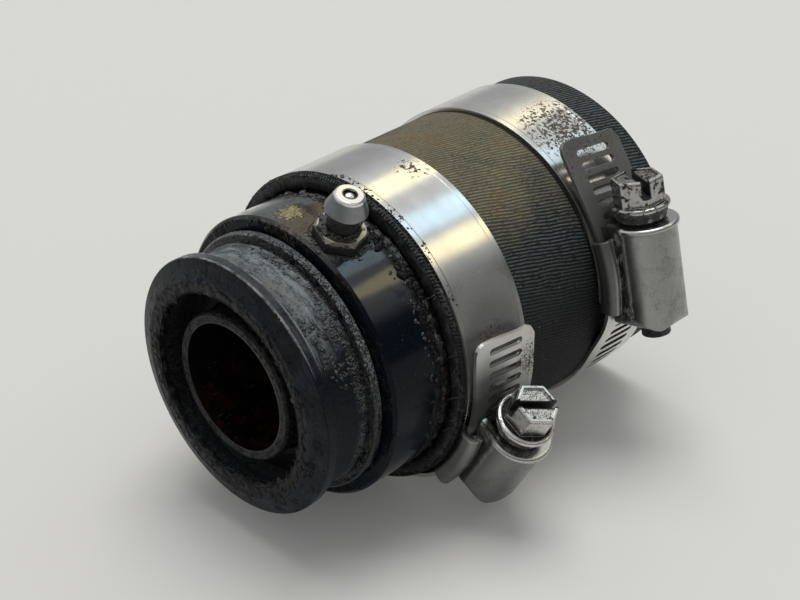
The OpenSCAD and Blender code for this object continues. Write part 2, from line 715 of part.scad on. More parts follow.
module near_band() { at_near_clamp() band_loop(); }
module near_band_tail() { at_near_clamp() band_tail(near_tail_curl); }
module near_saddle() { at_near_clamp() saddle(); }
module near_housing() { at_near_clamp() housing(near_housing_len); }
module near_screw() { at_near_clamp() screw(near_head_turn, near_screw_flats, near_housing_len); }
module far_band() { at_far_clamp() band_loop(); }
module far_band_tail() { at_far_clamp() band_tail(far_tail_curl); }
module far_saddle() { at_far_clamp() saddle(); }
module far_housing() { at_far_clamp() housing(far_housing_len); }
module far_screw() { at_far_clamp() screw(far_head_turn, far_screw_flats, far_housing_len); }

nose_flange();
nose_o_ring();
lock_ring();
carrier_body();
shaft_sleeve();
front_seal_case();
front_seal_lip();
front_garter_spring();
bearing_outer_ring();
bearing_inner_ring();
bearing_cage();
bearing_balls();
bearing_snap_ring();
sleeve_retaining_ring();
rear_seal_case();
rear_seal_lip();
rear_garter_spring();
nipple_body();
nipple_ball();
nipple_spring();
hose_sleeve();
near_band();
near_band_tail();
near_saddle();
near_housing();
near_screw();
far_band();
far_band_tail();
far_saddle();
far_housing();
far_screw();
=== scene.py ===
import json
import math
import random

import bmesh
import bpy
from mathutils import Matrix, Vector, noise
from mathutils.bvhtree import BVHTree


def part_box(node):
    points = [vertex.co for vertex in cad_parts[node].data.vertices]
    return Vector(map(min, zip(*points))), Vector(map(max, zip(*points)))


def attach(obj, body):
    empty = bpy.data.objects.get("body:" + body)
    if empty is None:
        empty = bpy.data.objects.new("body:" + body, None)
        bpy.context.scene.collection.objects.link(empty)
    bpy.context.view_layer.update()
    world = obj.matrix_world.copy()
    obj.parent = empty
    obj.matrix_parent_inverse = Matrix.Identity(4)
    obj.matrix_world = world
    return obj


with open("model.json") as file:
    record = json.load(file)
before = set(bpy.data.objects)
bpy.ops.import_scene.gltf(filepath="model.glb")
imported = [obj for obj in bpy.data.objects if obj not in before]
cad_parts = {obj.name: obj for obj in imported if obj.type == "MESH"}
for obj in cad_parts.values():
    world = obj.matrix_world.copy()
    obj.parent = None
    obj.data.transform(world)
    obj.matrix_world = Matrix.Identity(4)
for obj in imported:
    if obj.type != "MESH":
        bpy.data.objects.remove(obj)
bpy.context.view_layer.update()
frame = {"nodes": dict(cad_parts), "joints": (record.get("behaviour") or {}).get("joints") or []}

nodes = frame["nodes"]
joints = {joint["name"]: joint for joint in frame["joints"]}
mm = 0.001

# ---------- camera ----------

IMAGE_W, IMAGE_H = 800, 600
IMAGE_L = max(IMAGE_W, IMAGE_H)
LENS = 76.5
SENSOR_W = 36.0
SHIFT_X, SHIFT_Y = 0.0, 0.0
CLIP = (0.01, 20)
CAMERA_PLACE = Vector((-0.12789, -0.16021, 0.14238))
CAMERA_AIM = Vector((0.02316, -0.01149, 0.00983))

# Image points in the photograph's frame, in pixels. Four stand where the model has the thing, because the
# photograph has it up to 15 pixels elsewhere: the right edge, the far screw's top and both tails' tips.
PHOTO = {
    "left edge": 146, "right edge": 688, "top edge": 77, "bottom edge": 513,
    "nipple tip": (348, 195),
    "near screw top": (537, 404),
    "far screw top": (636, 175),
    "near tail tip": (503, 340),
    "far tail tip": (585, 142),
    "grease smear": (290, 212),
    "near band flecks": (411, 168),
    "far band crust": (562, 128),
    "neck scar": (352, 322),
    "near tail specks": (530, 357),
    "near tail foot": (484, 396),
}


def add_camera():
    """The photograph's camera"""
    lens = bpy.data.cameras.new("camera")
    lens.lens = LENS
    lens.sensor_width = SENSOR_W
    lens.sensor_fit = "AUTO"
    lens.shift_x, lens.shift_y = SHIFT_X, SHIFT_Y
    lens.clip_start, lens.clip_end = CLIP
    camera = bpy.data.objects.new("camera", lens)
    camera.location = CAMERA_PLACE
    camera.rotation_euler = (CAMERA_AIM - CAMERA_PLACE).to_track_quat("-Z", "Y").to_euler()
    bpy.context.scene.collection.objects.link(camera)
    bpy.context.scene.camera = camera
    bpy.context.view_layer.update()
    return camera


camera = add_camera()


def sight(point):
    """The direction in which the camera sees a point of the photograph"""
    across = point[0] - IMAGE_W / 2 + SHIFT_X * IMAGE_L
    up = IMAGE_H / 2 - point[1] + SHIFT_Y * IMAGE_L
    ahead = -IMAGE_L * LENS / SENSOR_W
    return (camera.matrix_world.to_3x3() @ Vector((across, up, ahead))).normalized()


def seen_at(place):
    """The point of the photograph where the camera sees a place"""
    local = camera.matrix_world.inverted() @ place
    scale = IMAGE_L * LENS / SENSOR_W / -local.z
    return (IMAGE_W / 2 - SHIFT_X * IMAGE_L + local.x * scale,
            IMAGE_H / 2 + SHIFT_Y * IMAGE_L - local.y * scale)


def skin_tree(names):
    """The outside of some CAD nodes, for rays"""
    corners, faces = [], []
    for name in names:
        first = len(corners)
        corners += [vertex.co for vertex in nodes[name].data.vertices]
        faces += [[first + index for index in face.vertices] for face in nodes[name].data.polygons]
    return BVHTree.FromPolygons(corners, faces), corners


def on_surface(name, *carriers):
    """Where the camera's ray through a point of the photograph meets the nodes that carry a thing"""
    ray = sight(PHOTO[name])
    tree, corners = skin_tree(carriers)
    place = tree.ray_cast(CAMERA_PLACE, ray)[0]
    if place is None:
        place = min(corners, key=lambda corner: (corner - CAMERA_PLACE).cross(ray).length)
    return place.copy()


smear_place = on_surface("grease smear", "carrier_body")
fleck_place = on_surface("near band flecks", "near_band")
crust_place = on_surface("far band crust", "far_band")
scar_place = on_surface("neck scar", "nose_flange", "lock_ring")
near_tip_place = on_surface("near tail tip", "near_band_tail")
far_tip_place = on_surface("far tail tip", "far_band_tail")
speck_place = on_surface("near tail specks", "near_band_tail")
foot_place = on_surface("near tail foot", "near_band_tail")

# ---------- finishes ----------

# Radius of the cylinder that marks unrolls, in mm
UNROLLED_R = 24
# How far an edge's rounded normal leans from the flat one, as a cosine: none, and wholly on the edge
EDGE_TURN = (0.995, 0.93)


class Wire:
    """An output of a graph's nodes. Arithmetic with wires and numbers adds Math nodes."""

    def __init__(self, graph, socket):
        self.graph = graph
        self.socket = socket

    def maths(self, operation, first, second):
        """A Math node of two wires or numbers"""
        return self.graph.node("ShaderNodeMath", {"operation": operation}, {0: first, 1: second})

    def __add__(self, other):
        return self.maths("ADD", self, other)

    def __sub__(self, other):
        return self.maths("SUBTRACT", self, other)

    def __rsub__(self, other):
        return self.maths("SUBTRACT", other, self)

    def __mul__(self, other):
        return self.maths("MULTIPLY", self, other)

    def __pow__(self, other):
        return self.maths("POWER", self, other)

    def most(self, other):
        """The larger of two values"""
        return self.maths("MAXIMUM", self, other)

    def off(self, middle):
        """Distance to either side of a middle"""
        return self.graph.node("ShaderNodeMath", {"operation": "ABSOLUTE"}, {0: self - middle})

    __radd__ = __add__
    __rmul__ = __mul__


class Graph:
    """Shader nodes of a material or of the sky"""

    def __init__(self, tree):
        self.tree = tree

    def join(self, value, socket):
        """Links a wire to a socket, or sets the socket to a constant"""
        if isinstance(value, Wire):
            self.tree.links.new(value.socket, socket)
        elif socket.type == "RGBA":
            socket.default_value = (*value, 1)
        else:
            socket.default_value = value

    def node(self, kind, settings, inputs, output=0):
        """A shader node. Gives the wire of one of its outputs."""
        made = self.tree.nodes.new(kind)
        for name, value in settings.items():
            setattr(made, name, value)
        for name, value in inputs.items():
            self.join(value, made.inputs[name])
        return Wire(self, made.outputs[output])

    def part(self, vector, name):
        """The X, Y or Z of a vector"""
        return self.node("ShaderNodeSeparateXYZ", {}, {0: vector}, name)

    def ray(self, kind):
        """1 for rays of a kind"""
        return self.node("ShaderNodeLightPath", {}, {}, "Is %s Ray" % kind)

    def rise(self, value, low, high):
        """0 below low, 1 above high, smooth between. Low may be the larger."""
        if low > high:
            return 1 - self.rise(value, high, low)
        return self.node("ShaderNodeMapRange", {"interpolation_type": "SMOOTHSTEP"},
                         {"Value": value, "From Min": low, "From Max": high})

    def blend(self, share, under, over):
        """A number between under and over"""
        return self.node("ShaderNodeMix", {"data_type": "FLOAT"}, {0: share, 2: under, 3: over}, 0)


class Finish(Graph):
    """A material, made node by node. Lengths that its methods take are in mm."""

    def __init__(self, name, **fixed):
        self.material = bpy.data.materials.new(name)
        self.material.use_nodes = True
        super().__init__(self.material.node_tree)
        self.surface = self.tree.nodes["Principled BSDF"]
        self.spot = self.node("ShaderNodeTexCoord", {}, {}, "Object")
        self.bumps = None
        self.feed(fixed)

    def feed(self, inputs):
        """Joins values to the surface's inputs"""
        for name, value in inputs.items():
            self.join(value, self.surface.inputs[name.replace("_", " ")])

    def done(self, colour, roughness, **others):
        """Joins what was made to the surface. Gives the material."""
        self.feed({"Base Color": colour, "Roughness": roughness, **others})
        if self.bumps:
            self.feed({"Normal": self.bumps})
        return self.material

    def axis(self, name):
        """Distance along X, Y or Z"""
        return self.part(self.spot, name)

    def along(self, direction):
        """Distance from the origin along any direction"""
        return self.node("ShaderNodeVectorMath", {"operation": "DOT_PRODUCT"},
                         {0: self.spot, 1: direction}, "Value")

    def near(self, place, reach):
        """1 at a place, falling to 0 at a distance from it"""
        away = self.node("ShaderNodeVectorMath", {"operation": "DISTANCE"}, {0: self.spot, 1: place}, "Value")
        return self.rise(away, reach * mm, 0)

    def off_line(self, place, direction):
        """Distance from a line through a place"""
        away = self.node("ShaderNodeVectorMath", {"operation": "SUBTRACT"}, {0: self.spot, 1: place})
        side = self.node("ShaderNodeVectorMath", {"operation": "CROSS_PRODUCT"}, {0: away, 1: direction})
        return self.node("ShaderNodeVectorMath", {"operation": "LENGTH"}, {0: side}, "Value")

    def radius(self):
        """Distance from the shaft's axis"""
        y, z = self.axis("Y"), self.axis("Z")
        return (y * y + z * z) ** 0.5

    def turn(self):
        """Angle round the shaft, in radians, 0 at the top"""
        return self.node("ShaderNodeMath", {"operation": "ARCTAN2"}, {0: self.axis("Y"), 1: self.axis("Z")})

    def normal(self):
        """The surface's own direction"""
        return self.node("ShaderNodeNewGeometry", {}, {}, "Normal")

    def upward(self):
        """Height of the surface's normal, from -1 to 1"""
        return self.part(self.normal(), "Z")

    def past(self, value, start, end):
        """0 up to start and 1 from end on. Start may be the larger."""
        return self.rise(value, start * mm, end * mm)

    def zone(self, value, start, end, soft):
        """1 between start and end, with soft edges outside"""
        return self.past(value, start - soft, start) * self.past(value, end + soft, end)

    def patches(self, where, scale, detail, rough):
        """Noise at a scaled place"""
        return self.node("ShaderNodeTexNoise", {"noise_dimensions": "3D"},
                         {"Vector": where, "Scale": scale, "Detail": detail, "Roughness": rough})

    def grain(self, size, detail=3.0, rough=0.55):
        """Noise whose patches are about as large as size"""
        return self.patches(self.spot, 1 / (size * mm), detail, rough)

    def marks(self, lengthwise, crosswise, detail, rough):
        """Noise on the unrolled cylinder, with so many patches in a metre along the shaft and round it"""
        round_it = self.turn() * (UNROLLED_R * mm * crosswise)
        place = self.node("ShaderNodeCombineXYZ", {},
                          {0: self.axis("X") * lengthwise, 1: round_it, 2: self.radius() * lengthwise})
        return self.patches(place, 1, detail, rough)

    def mix(self, share, under, over):
        """A colour between under and over"""
        return self.node("ShaderNodeMix", {"data_type": "RGBA"}, {0: share, 6: under, 7: over}, 2)

    def rounded(self, width):
        """The surface's direction with the shape's edges rounded"""
        return self.node("ShaderNodeBevel", {"samples": 4}, {"Radius": width * mm})

    def edges(self, width):
        """1 on the edges of the shape"""
        same = self.node("ShaderNodeVectorMath", {"operation": "DOT_PRODUCT"},
                         {0: self.rounded(width), 1: self.normal()}, "Value")
        return self.rise(same, *EDGE_TURN)

    def soften(self, width):
        """Rounds the shape's edges in the light"""
        self.bumps = self.rounded(width)

    def bump(self, height, depth, strength=1.0):
        """Raises the surface by height (0 to 1) times depth"""
        inputs = {"Height": height, "Distance": depth * mm, "Strength": strength}
        if self.bumps:
            inputs["Normal"] = self.bumps
        self.bumps = self.node("ShaderNodeBump", {}, inputs)


# Where zones of the surface begin and end, in mm, and for bands how soft their ends are. X is along the
# shaft, Z up, R from an axis, OFF to either side of a middle, S along a screw towards its head, and N
# along the nipple from the shaft's axis.
FACE_X = (0.05, -0.1)
NECK_X = (1.9, 2.4)
BROWN_X = (6.5, 2.6)
GROOVE_X = (7.6, 9.5, 0.9)
BARREL_START_X = (11.3, 11.0)
CORNER_X = (18.4, 20.4)
HOSE_START_X = (20.5, 20.9)
# Painted shadow on the hose beside the near band, and two lines down beside the far band
NEAR_BAND_SHADOW_X = (36.0, 36.4, 0.1)
BETWEEN_X = (36.5, 54.0, 1.5)
FAR_BAND_SHADOW_X = (53.6, 54.3, 0.1)
BORE_R = (10.5, 10.3)
RECESS_R = (15.7, 15.2)
HOSE_OUTSIDE_R = (23.6, 24.2)
HOSE_RIM_R = (24.6, 25.0)
LOW_Z = (1, -6)
BORDER_OFF = (5.30, 5.42)
SEAM_OFF = (4.7, 5.6, 0.25)
FLAP_OFF = (6.4, 6.9)
SEAM_R = (30.0, 29.0)
LIP_HIGHLIGHT_S = (7.0, 7.4)
CONE_S = (7.9, 9.8, 0.1)
HEX_FOOT_S = (10.2, 10.55, 0.2)
HEX_FOOT_R = (4.3, 4.1)
SLOT_FLOOR_S = (11.9, 12.1)
SLOT_OFF = (0.74, 0.71)
HEX_TOP_S = (14.2, 14.55, 0.02)
NIPPLE_HEX_TOP_N = (24.4, 25.1, 0.1)
NIPPLE_HEX_TOP_R = (2.8, 2.4)
NIPPLE_FOOT_N = (24.0, 23.6)
NIPPLE_HEX_N = (25.2, 25.0)
NIPPLE_NECK_N = (25.0, 27.0, 0.1)
NIPPLE_CONE_N = (27.0, 27.4)
NIPPLE_TIP_N = (30.2, 30.45)
NIPPLE_HOLE_SHADE_R = (1.25, 1.1)

# The hose's ribs, in mm: radius that they are counted at, pitch, and lean along the shaft
HOSE_R = 24.65
RIB_PITCH = 0.56
RIB_BIAS = 0.26

# Colours, linear
BLACK = (0.005, 0.007, 0.012)
SOOT = (0.006, 0.006, 0.006)
DUST = (0.15, 0.16, 0.162)
MUD = (0.075, 0.060, 0.040)
GLINT = (0.30, 0.30, 0.28)
SILVER = (0.30, 0.33, 0.35)


def crumbs(finish, share, under, rough_under, mud=0.6, glint=0.7, silver=0.0):
    """Lays packed dirt with small bright grains over a colour, where share is 1"""
    lumps = finish.grain(0.9, 5, 0.7)
    grit = finish.grain(0.22, 2, 0.6)
    soil = finish.mix(finish.rise(lumps, 0.46, 0.70) * mud, SOOT, MUD)
    soil = finish.mix(finish.rise(grit + lumps * 0.5, 0.70, 0.88) * silver, soil, SILVER)
    glints = finish.rise(grit, 0.65, 0.72)
    soil = finish.mix(glints * glint, soil, GLINT)
    finish.bump(lumps * share, 0.45)
    finish.bump(grit * share, 0.12)
    colour = finish.mix(share, under, soil)
    return colour, finish.blend(share, rough_under, 0.42)


def nose_finish():
    """Worn black flange and neck: dust on top, dirt packed in the recess and the groove, made plain black in
    the recess as painted shade, and worn rim edges made lighter where they face up, as painted highlight
    """
    finish = Finish("nose_black", Specular_IOR_Level=0.13)
    x, radius, up = finish.axis("X"), finish.radius(), finish.upward()
    cloud = finish.grain(5, 4, 0.6)
    fine = finish.grain(0.35, 3, 0.6)
    streaks = finish.marks(1500, 260, 4, 0.65)
    turned = finish.marks(9000, 160, 2, 0.5)
    edge = finish.edges(0.45)
    neck = finish.past(x, *NECK_X)
    face = finish.past(x, *FACE_X)
    recess = finish.past(radius, *RECESS_R)
    dusty = finish.rise(up + cloud * 0.5, 0.62, 1.1)
    dust = (dusty * (0.2 + 0.8 * neck)).most(face * finish.rise(cloud, 0.4, 0.75) * 0.10)
    dust = dust * finish.rise(fine * 0.5 + streaks, 0.5, 0.95)
    colour = finish.mix(dust, BLACK, (0.29, 0.33, 0.35))
    brown = neck * finish.past(x, *BROWN_X) * finish.rise(up, 0.5, 0.9)
    brown = brown * finish.rise(streaks, 0.42, 0.6)
    colour = finish.mix(brown * 0.7, colour, (0.12, 0.095, 0.06))
    # Wear and painted highlight: worn rim edges are made lighter only where they face up, where the light
    # catches them
    worn = edge * finish.rise(cloud, 0.38, 0.56) * finish.rise(up, 0.45, 0.70)
    colour = finish.mix(worn, colour, (0.68, 0.70, 0.73))
    roughness = finish.blend(dust.most(face * 0.5).most(neck * 0.35), 0.17, 0.58) + (fine - 0.5) * 0.2
    finish.soften(0.2)
    finish.bump(turned, 0.03)
    finish.bump(finish.rise(finish.grain(0.7, 4, 0.65), 0.42, 0.6), 0.08, 0.5)
    finish.bump(streaks * neck, 0.12, 0.5)
    packed = recess.most(finish.zone(x, *GROOVE_X) * finish.rise(cloud, 0.35, 0.6))
    packed = packed.most(finish.near(scar_place, 7) * finish.rise(cloud, 0.3, 0.5) * neck)
    nicks = face * finish.rise(finish.grain(1.6, 4, 0.75), 0.56, 0.68)
    # In the recess the dirt is made plain black, without grains: black crud, and painted shade of the deep
    # recess
    outside_recess = 1 - recess
    colour, roughness = crumbs(finish, packed.most(nicks), colour, roughness,
                               outside_recess * 0.5, outside_recess * 0.8, outside_recess * (1 - face) * 0.5)
    return finish.done(colour, roughness)


def ring_finish():
    """The black lock ring, dusty on top and dirty all round"""
    finish = Finish("lock_ring_black", Specular_IOR_Level=0.5)
    cloud = finish.grain(3.5, 4, 0.6)
    edge = finish.edges(0.2)
    up = finish.upward()
    dust = finish.rise(up + cloud, 0.7, 1.7) * 0.7
    colour = finish.mix(dust, BLACK, DUST)
    colour = finish.mix(edge * finish.rise(cloud, 0.4, 0.6) * 0.4, colour, GLINT)
    roughness = finish.blend(dust, 0.24, 0.6)
    finish.soften(0.15)
    packed = finish.rise(cloud + up * 0.2, 0.40, 0.50)
    colour, roughness = crumbs(finish, packed, colour, roughness, 0.5, 1.0, finish.rise(up, -0.2, 0.5))
    return finish.done(colour, roughness)


def body_finish():
    """The black barrel: polished where it shines, stained and greased round the nipple, dirty at the hose"""
    finish = Finish("body_black", Specular_IOR_Level=0.09, Coat_Roughness=0.1, Coat_IOR=1.6)
    x, up = finish.axis("X"), finish.upward()
    cloud = finish.grain(4, 4, 0.6)
    fine = finish.grain(0.3, 3, 0.6)
    turned = finish.marks(9000, 160, 2, 0.5)
    corner = finish.past(x, *CORNER_X)
    dusty = finish.rise(up + cloud * 0.25, 0.98, 1.1)
    dust = dusty * finish.rise(fine, 0.22, 0.6)
    specks = finish.rise(finish.grain(0.28, 1, 0.4), 0.73, 0.77) * 0.35
    colour = finish.mix(dust.most(specks), BLACK, DUST)
    smear = finish.near(smear_place, 8)
    stained = finish.near(smear_place * 0.6 + nipple_spot * 0.4, 11)
    patch = finish.grain(1.8, 5, 0.7)
    flakes = finish.grain(0.6, 4, 0.7)
    stain = finish.rise(patch + flakes * 0.8 + stained * 0.6, 1.12, 1.32)
    colour = finish.mix(stain * finish.rise(flakes, 0.38, 0.52), colour, (0.14, 0.105, 0.065))
    oily = finish.rise(flakes + patch * 0.4 + finish.near(smear_place, 5.6) * 0.45, 0.97, 1.05)
    cream = finish.mix(finish.rise(fine, 0.45, 0.6), (0.24, 0.19, 0.08), (0.42, 0.40, 0.25))
    colour = finish.mix(oily, colour, cream)
    roughness = finish.blend(dust.most(oily * 0.6), 0.10, 0.6) + (cloud - 0.5) * 0.10
    finish.soften(0.15)
    finish.bump(turned, 0.012)
    finish.bump(oily, 0.15)
    packed = corner * finish.rise(cloud + corner * 0.3, 0.5, 0.75)
    packed = packed.most(finish.past(x, *HOSE_START_X))
    packed = packed.most(smear * finish.rise(cloud, 0.52, 0.62) * 0.8)
    packed = packed.most(finish.past(x, *BARREL_START_X) * finish.rise(cloud, 0.5, 0.6))
    polish = finish.rise(up, 0.56, 0.67) * finish.rise(up, 1.01, 0.90) * finish.rise(cloud, 0.2, 0.5)
    polish = polish * (1 - packed) * (1 - dust.most(oily) * 0.8)
    colour, roughness = crumbs(finish, packed, colour, roughness)
    return finish.done(colour, roughness, Coat_Weight=polish)


def sleeve_finish():
    """The shaft sleeve: dark greasy steel, whose bore is rust-brown and scratched only towards the bottom and
    near-black above
    """
    finish = Finish("sleeve_steel", Specular_IOR_Level=0.3)
    radius = finish.radius()
    cloud = finish.grain(3, 5, 0.65)
    bore = finish.past(radius, *BORE_R)
    bottom = finish.past(finish.axis("Z"), *LOW_Z)
    # Brown only towards the bottom of the bore, and near-black above
    wet = finish.mix(finish.rise(cloud, 0.4, 0.7) * bottom, (0.004, 0.0035, 0.0035), (0.034, 0.014, 0.010))
    steel = finish.mix(finish.rise(cloud, 0.38, 0.62), (0.008, 0.010, 0.011), (0.035, 0.037, 0.036))
    colour = finish.mix(bore, steel, wet)
    roughness = finish.blend(bore, 0.5, 0.27)
    finish.soften(0.15)
    finish.bump(finish.grain(1.1, 4, 0.6), 0.25, 0.7)
    gritty = (1 - bore) * finish.rise(cloud, 0.42, 0.58)
    lengthwise = finish.node("ShaderNodeMapping", {}, {"Vector": finish.spot, "Scale": (350, 2600, 2600)})
    scratches = finish.rise(finish.patches(lengthwise, 1, 3, 0.7), 0.66, 0.70)
    colour = finish.mix(scratches * bore * bottom * 0.25, colour, GLINT)
    colour, roughness = crumbs(finish, gritty, colour, roughness)
    return finish.done(colour, roughness, Metallic=0.15)


def metal_finish(name, bright, dark, rough, dirt, size=2):
    """Plain machined steel or brass, with oil stains about as large as size, in mm"""
    finish = Finish(name)
    cloud = finish.grain(size, 4, 0.6)
    turned = finish.marks(7000, 150, 2, 0.5)
    stain = finish.rise(cloud, 0.42, 0.68) * dirt
    edge = finish.edges(0.12)
    # Painted highlight: the edges are made lighter, where light catches them
    colour = finish.mix(stain, finish.mix(edge * 0.4, bright, (0.9, 0.9, 0.9)), dark)
    finish.soften(0.12)
    finish.bump(turned, 0.015)
    return finish.done(colour, rough + stain * 0.3 + (turned - 0.5) * 0.12, Metallic=1 - stain * 0.7)


def rubber_finish(name, base, bloom):
    """Oily moulded rubber"""
    finish = Finish(name, Specular_IOR_Level=0.15)
    cloud = finish.grain(2, 5, 0.65)
    fine = finish.grain(0.25, 3, 0.6)
    colour = finish.mix(finish.rise(cloud, 0.4, 0.7), base, bloom)
    finish.bump(fine, 0.05, 0.6)
    return finish.done(colour, 0.38 + cloud * 0.3)


def hose_finish():
    """Ribbed black rubber with woven ply, brown with dust on top between the bands, its ribs lighter towards
    the top as painted highlight, and near-black beside each band as painted shadow
    """
    finish = Finish("hose_rubber", Specular_IOR_Level=0.2)
    x, radius, up, turn = finish.axis("X"), finish.radius(), finish.upward(), finish.turn()
    cloud = finish.grain(9, 4, 0.6)
    fine = finish.grain(0.35, 3, 0.65)
    wander = finish.grain(5, 2, 0.5)
    strokes = finish.marks(850, 3400, 3, 0.6)
    outside = finish.past(radius, *HOSE_OUTSIDE_R)
    ribs = finish.node("ShaderNodeMath", {"operation": "SINE"},
                       {0: (turn * HOSE_R + x * (RIB_BIAS / mm) + wander * 0.7) * (2 * math.pi / RIB_PITCH)})
    ribs = finish.rise(ribs, -0.7, 0.8) * finish.rise(strokes, 0.3, 0.55)
    weave = finish.marks(1800, 300, 2, 0.5)
    between = finish.zone(x, *BETWEEN_X)
    # Painted highlight: the ribs are made lighter the more they face up, and stay near-black below
    rubber_with_rib_highlight = finish.mix(ribs * finish.rise(up, -0.05, 0.75), (0.006, 0.007, 0.0085), (0.125, 0.14, 0.143))
    brown = finish.rise(up + cloud * 0.5, 0.8, 1.2) * between * (0.4 + 0.6 * ribs)
    brown = brown * finish.rise(fine + cloud * 0.5, 0.35, 0.8)
    rusty = finish.mix(finish.rise(cloud, 0.52, 0.72), (0.31, 0.275, 0.17), (0.32, 0.22, 0.11))
    colour = finish.mix(brown, rubber_with_rib_highlight, rusty)
    # Painted shadow: a near-black line on the hose along each band's edge, where the band shades it
    painted_band_shadow = finish.zone(x, *FAR_BAND_SHADOW_X).most(finish.zone(x, *NEAR_BAND_SHADOW_X))
    colour = finish.mix(painted_band_shadow * 0.9, colour, (0.004, 0.004, 0.004))
    cut = 1 - outside
    colour = finish.mix(cut * finish.rise(fine, 0.35, 0.6) * 0.6, colour, (0.045, 0.043, 0.042))
    lint = finish.rise(finish.grain(0.3, 1, 0.4), 0.745, 0.77)
    colour = finish.mix(lint * 0.5, colour, (0.4, 0.38, 0.33))
    finish.bump(ribs * outside, 0.14)
    finish.bump(weave * outside, 0.06, 0.6)
    finish.bump(fine * (0.4 + cut), 0.12, 0.7)
    return finish.done(colour, 0.62 + (fine - 0.5) * 0.25)


def steel_strip(name, middle_x, dirt_and_shadow_spots, flecks, worn=0.0, shade=1.0):
    """Satin stainless strip. Dark patches round (place, reach) are dirt, and at the near tail's foot also
    painted shadow;
    dark flecks round (place, reach, weight, size), in mm. Worn makes it rougher, and a smaller shade darkens
    it as painted shade."""
    finish = Finish(name)
    cloud = finish.grain(6, 3, 0.55)
    drawn = finish.marks(5200, 60, 3, 0.6)
    fine = finish.grain(0.3, 3, 0.6)
    edge = finish.edges(0.12)
    off_middle = finish.axis("X").off(middle_x)
    border = finish.past(off_middle, *BORDER_OFF)
    # Painted shade: the shade factor darkens the whole strip, so the tails are darker copies of the bands'
    # steel
    light = Vector((0.70, 0.695, 0.68)) * shade
    colour = finish.mix(finish.rise(cloud, 0.35, 0.7), light * 0.87, light)
    # Painted highlight: the strip's edges are made lighter, where light catches them
    colour = finish.mix(edge * 0.5, colour, (0.85, 0.85, 0.84))
    dirt = finish.rise(finish.grain(0.45, 4, 0.7), 0.69, 0.72)
    for place, reach, weight, size in flecks:
        heavy = finish.near(place, reach)
        flecked = finish.rise(finish.grain(size, 5, 0.7) + heavy * weight, 0.585, 0.605)
        dirt = dirt.most(flecked * finish.rise(heavy, 0.05, 0.3))
    # Dark patches round given places: dirt, and at the near tail's foot also painted shadow
    dirt_and_shade_film = 0.0
    for place, reach in dirt_and_shadow_spots:
        dirt_and_shade_film = finish.rise(finish.near(place, reach) + cloud * 0.5 + fine * 0.15, 0.40, 1.2) * 0.8 + dirt_and_shade_film
    colour = finish.mix(dirt_and_shade_film, colour, (0.055, 0.054, 0.047))
    soil = finish.mix(finish.rise(fine, 0.5, 0.62), (0.025, 0.02, 0.015), (0.17, 0.12, 0.06))
    colour = finish.mix(dirt, colour, soil)
    finish.soften(0.1)
    finish.bump(border, 0.07)
    finish.bump(drawn, 0.01, 0.6)
    finish.bump(dirt, 0.06, 0.8)
    finish.bump(fine * dirt_and_shade_film, 0.04, 0.5)
    rough = 0.19 + worn + (drawn - 0.5) * 0.09 + dirt_and_shade_film * 0.35 + dirt * 0.35
    return finish.done(colour, rough, Metallic=1 - (dirt * 0.9).most(dirt_and_shade_film * 0.85))


# Turn of each screw's slot from the shaft's direction, in degrees
SLOT_TURN = {"near": 30, "far": 121}
# Place along each screw of its housing's closed end, in mm
HOUSING_END = {"near": -6.2, "far": -9.2}
# How dirty and how shaded each clamp is: grime and painted shade on the front flap, painted shade on the
# pressing, dirt and painted shade on the screw
FLAP_GRIME_AND_SHADE = {"near": 0.15, "far": 0.7}
PRESSING_SHADE = {"near": 0.8, "far": 1.0}
SCREW_SOIL_AND_SHADE = {"near": 0.0, "far": 1.0}


def screw_direction(clamp):
    """Unit vector along a clamp's screw, towards its head"""
    return -Vector(joints[clamp + "_screw_turn"]["axis"])


def screw_finish(clamp, soil):
    """Bright plated steel: speckled on top, dirt in the slot, under the collar and at the hexagon's foot.
    Soil makes it dirtier all over, and darkens its whole colour as painted shade."""
    finish = Finish(clamp + "_screw_steel")
    middle = Vector(joints[clamp + "_screw_turn"]["pos_m"])
    high = finish.along(screw_direction(clamp))
    cloud = finish.grain(1.2, 4, 0.65)
    fine = finish.grain(0.25, 3, 0.6)
    edge = finish.edges(0.16)
    off_axis = finish.off_line(middle, screw_direction(clamp))
    top = finish.zone(high, *HEX_TOP_S)
    speckle = finish.rise(finish.grain(0.2, 3, 0.6), 0.47, 0.56)
    # Painted shade: soil darkens the whole colour of the screw
    light = Vector((0.66, 0.65, 0.62)) * (1 - soil * 0.35)
    colour = finish.mix(finish.rise(cloud, 0.4, 0.65), light, light * 0.75)
    colour = finish.mix(top * speckle * 0.9, colour, (0.07, 0.065, 0.055))
    # Painted highlight: the screw's edges are made lighter, where light catches them
    colour = finish.mix(edge * 0.6, colour, (0.88, 0.87, 0.85))
    turn = math.radians(SLOT_TURN[clamp])
    outwards = Vector((0, middle.y, middle.z)).normalized()
    across = outwards * math.cos(turn) - Vector((math.sin(turn), 0, 0))
    off_slot = finish.along(across).off(middle.dot(across))
    slot = finish.past(off_slot, *SLOT_OFF) * finish.past(high, *SLOT_FLOOR_S)
    cone = finish.zone(high, *CONE_S) * finish.rise(cloud, 0.32, 0.5)
    foot = finish.zone(high, *HEX_FOOT_S) * finish.past(off_axis, *HEX_FOOT_R)
    foot = foot * finish.rise(cloud, 0.3, 0.42)
    finish.soften(0.14)
    dirty = slot.most(cone * 0.9).most(foot)
    dirty = dirty.most(finish.past(high, HOUSING_END[clamp], HOUSING_END[clamp] - 0.2))
    dirty = dirty.most(finish.rise(cloud + fine * 0.3 + soil * 0.08, 0.78, 0.88))
    rough = 0.2 + cloud * 0.12 + top * (0.1 + speckle * 0.2)
    finish.bump(top * speckle, 0.02, 0.5)
    colour, rough = crumbs(finish, dirty, colour, rough)
    return finish.done(colour, rough, Metallic=1 - dirty)


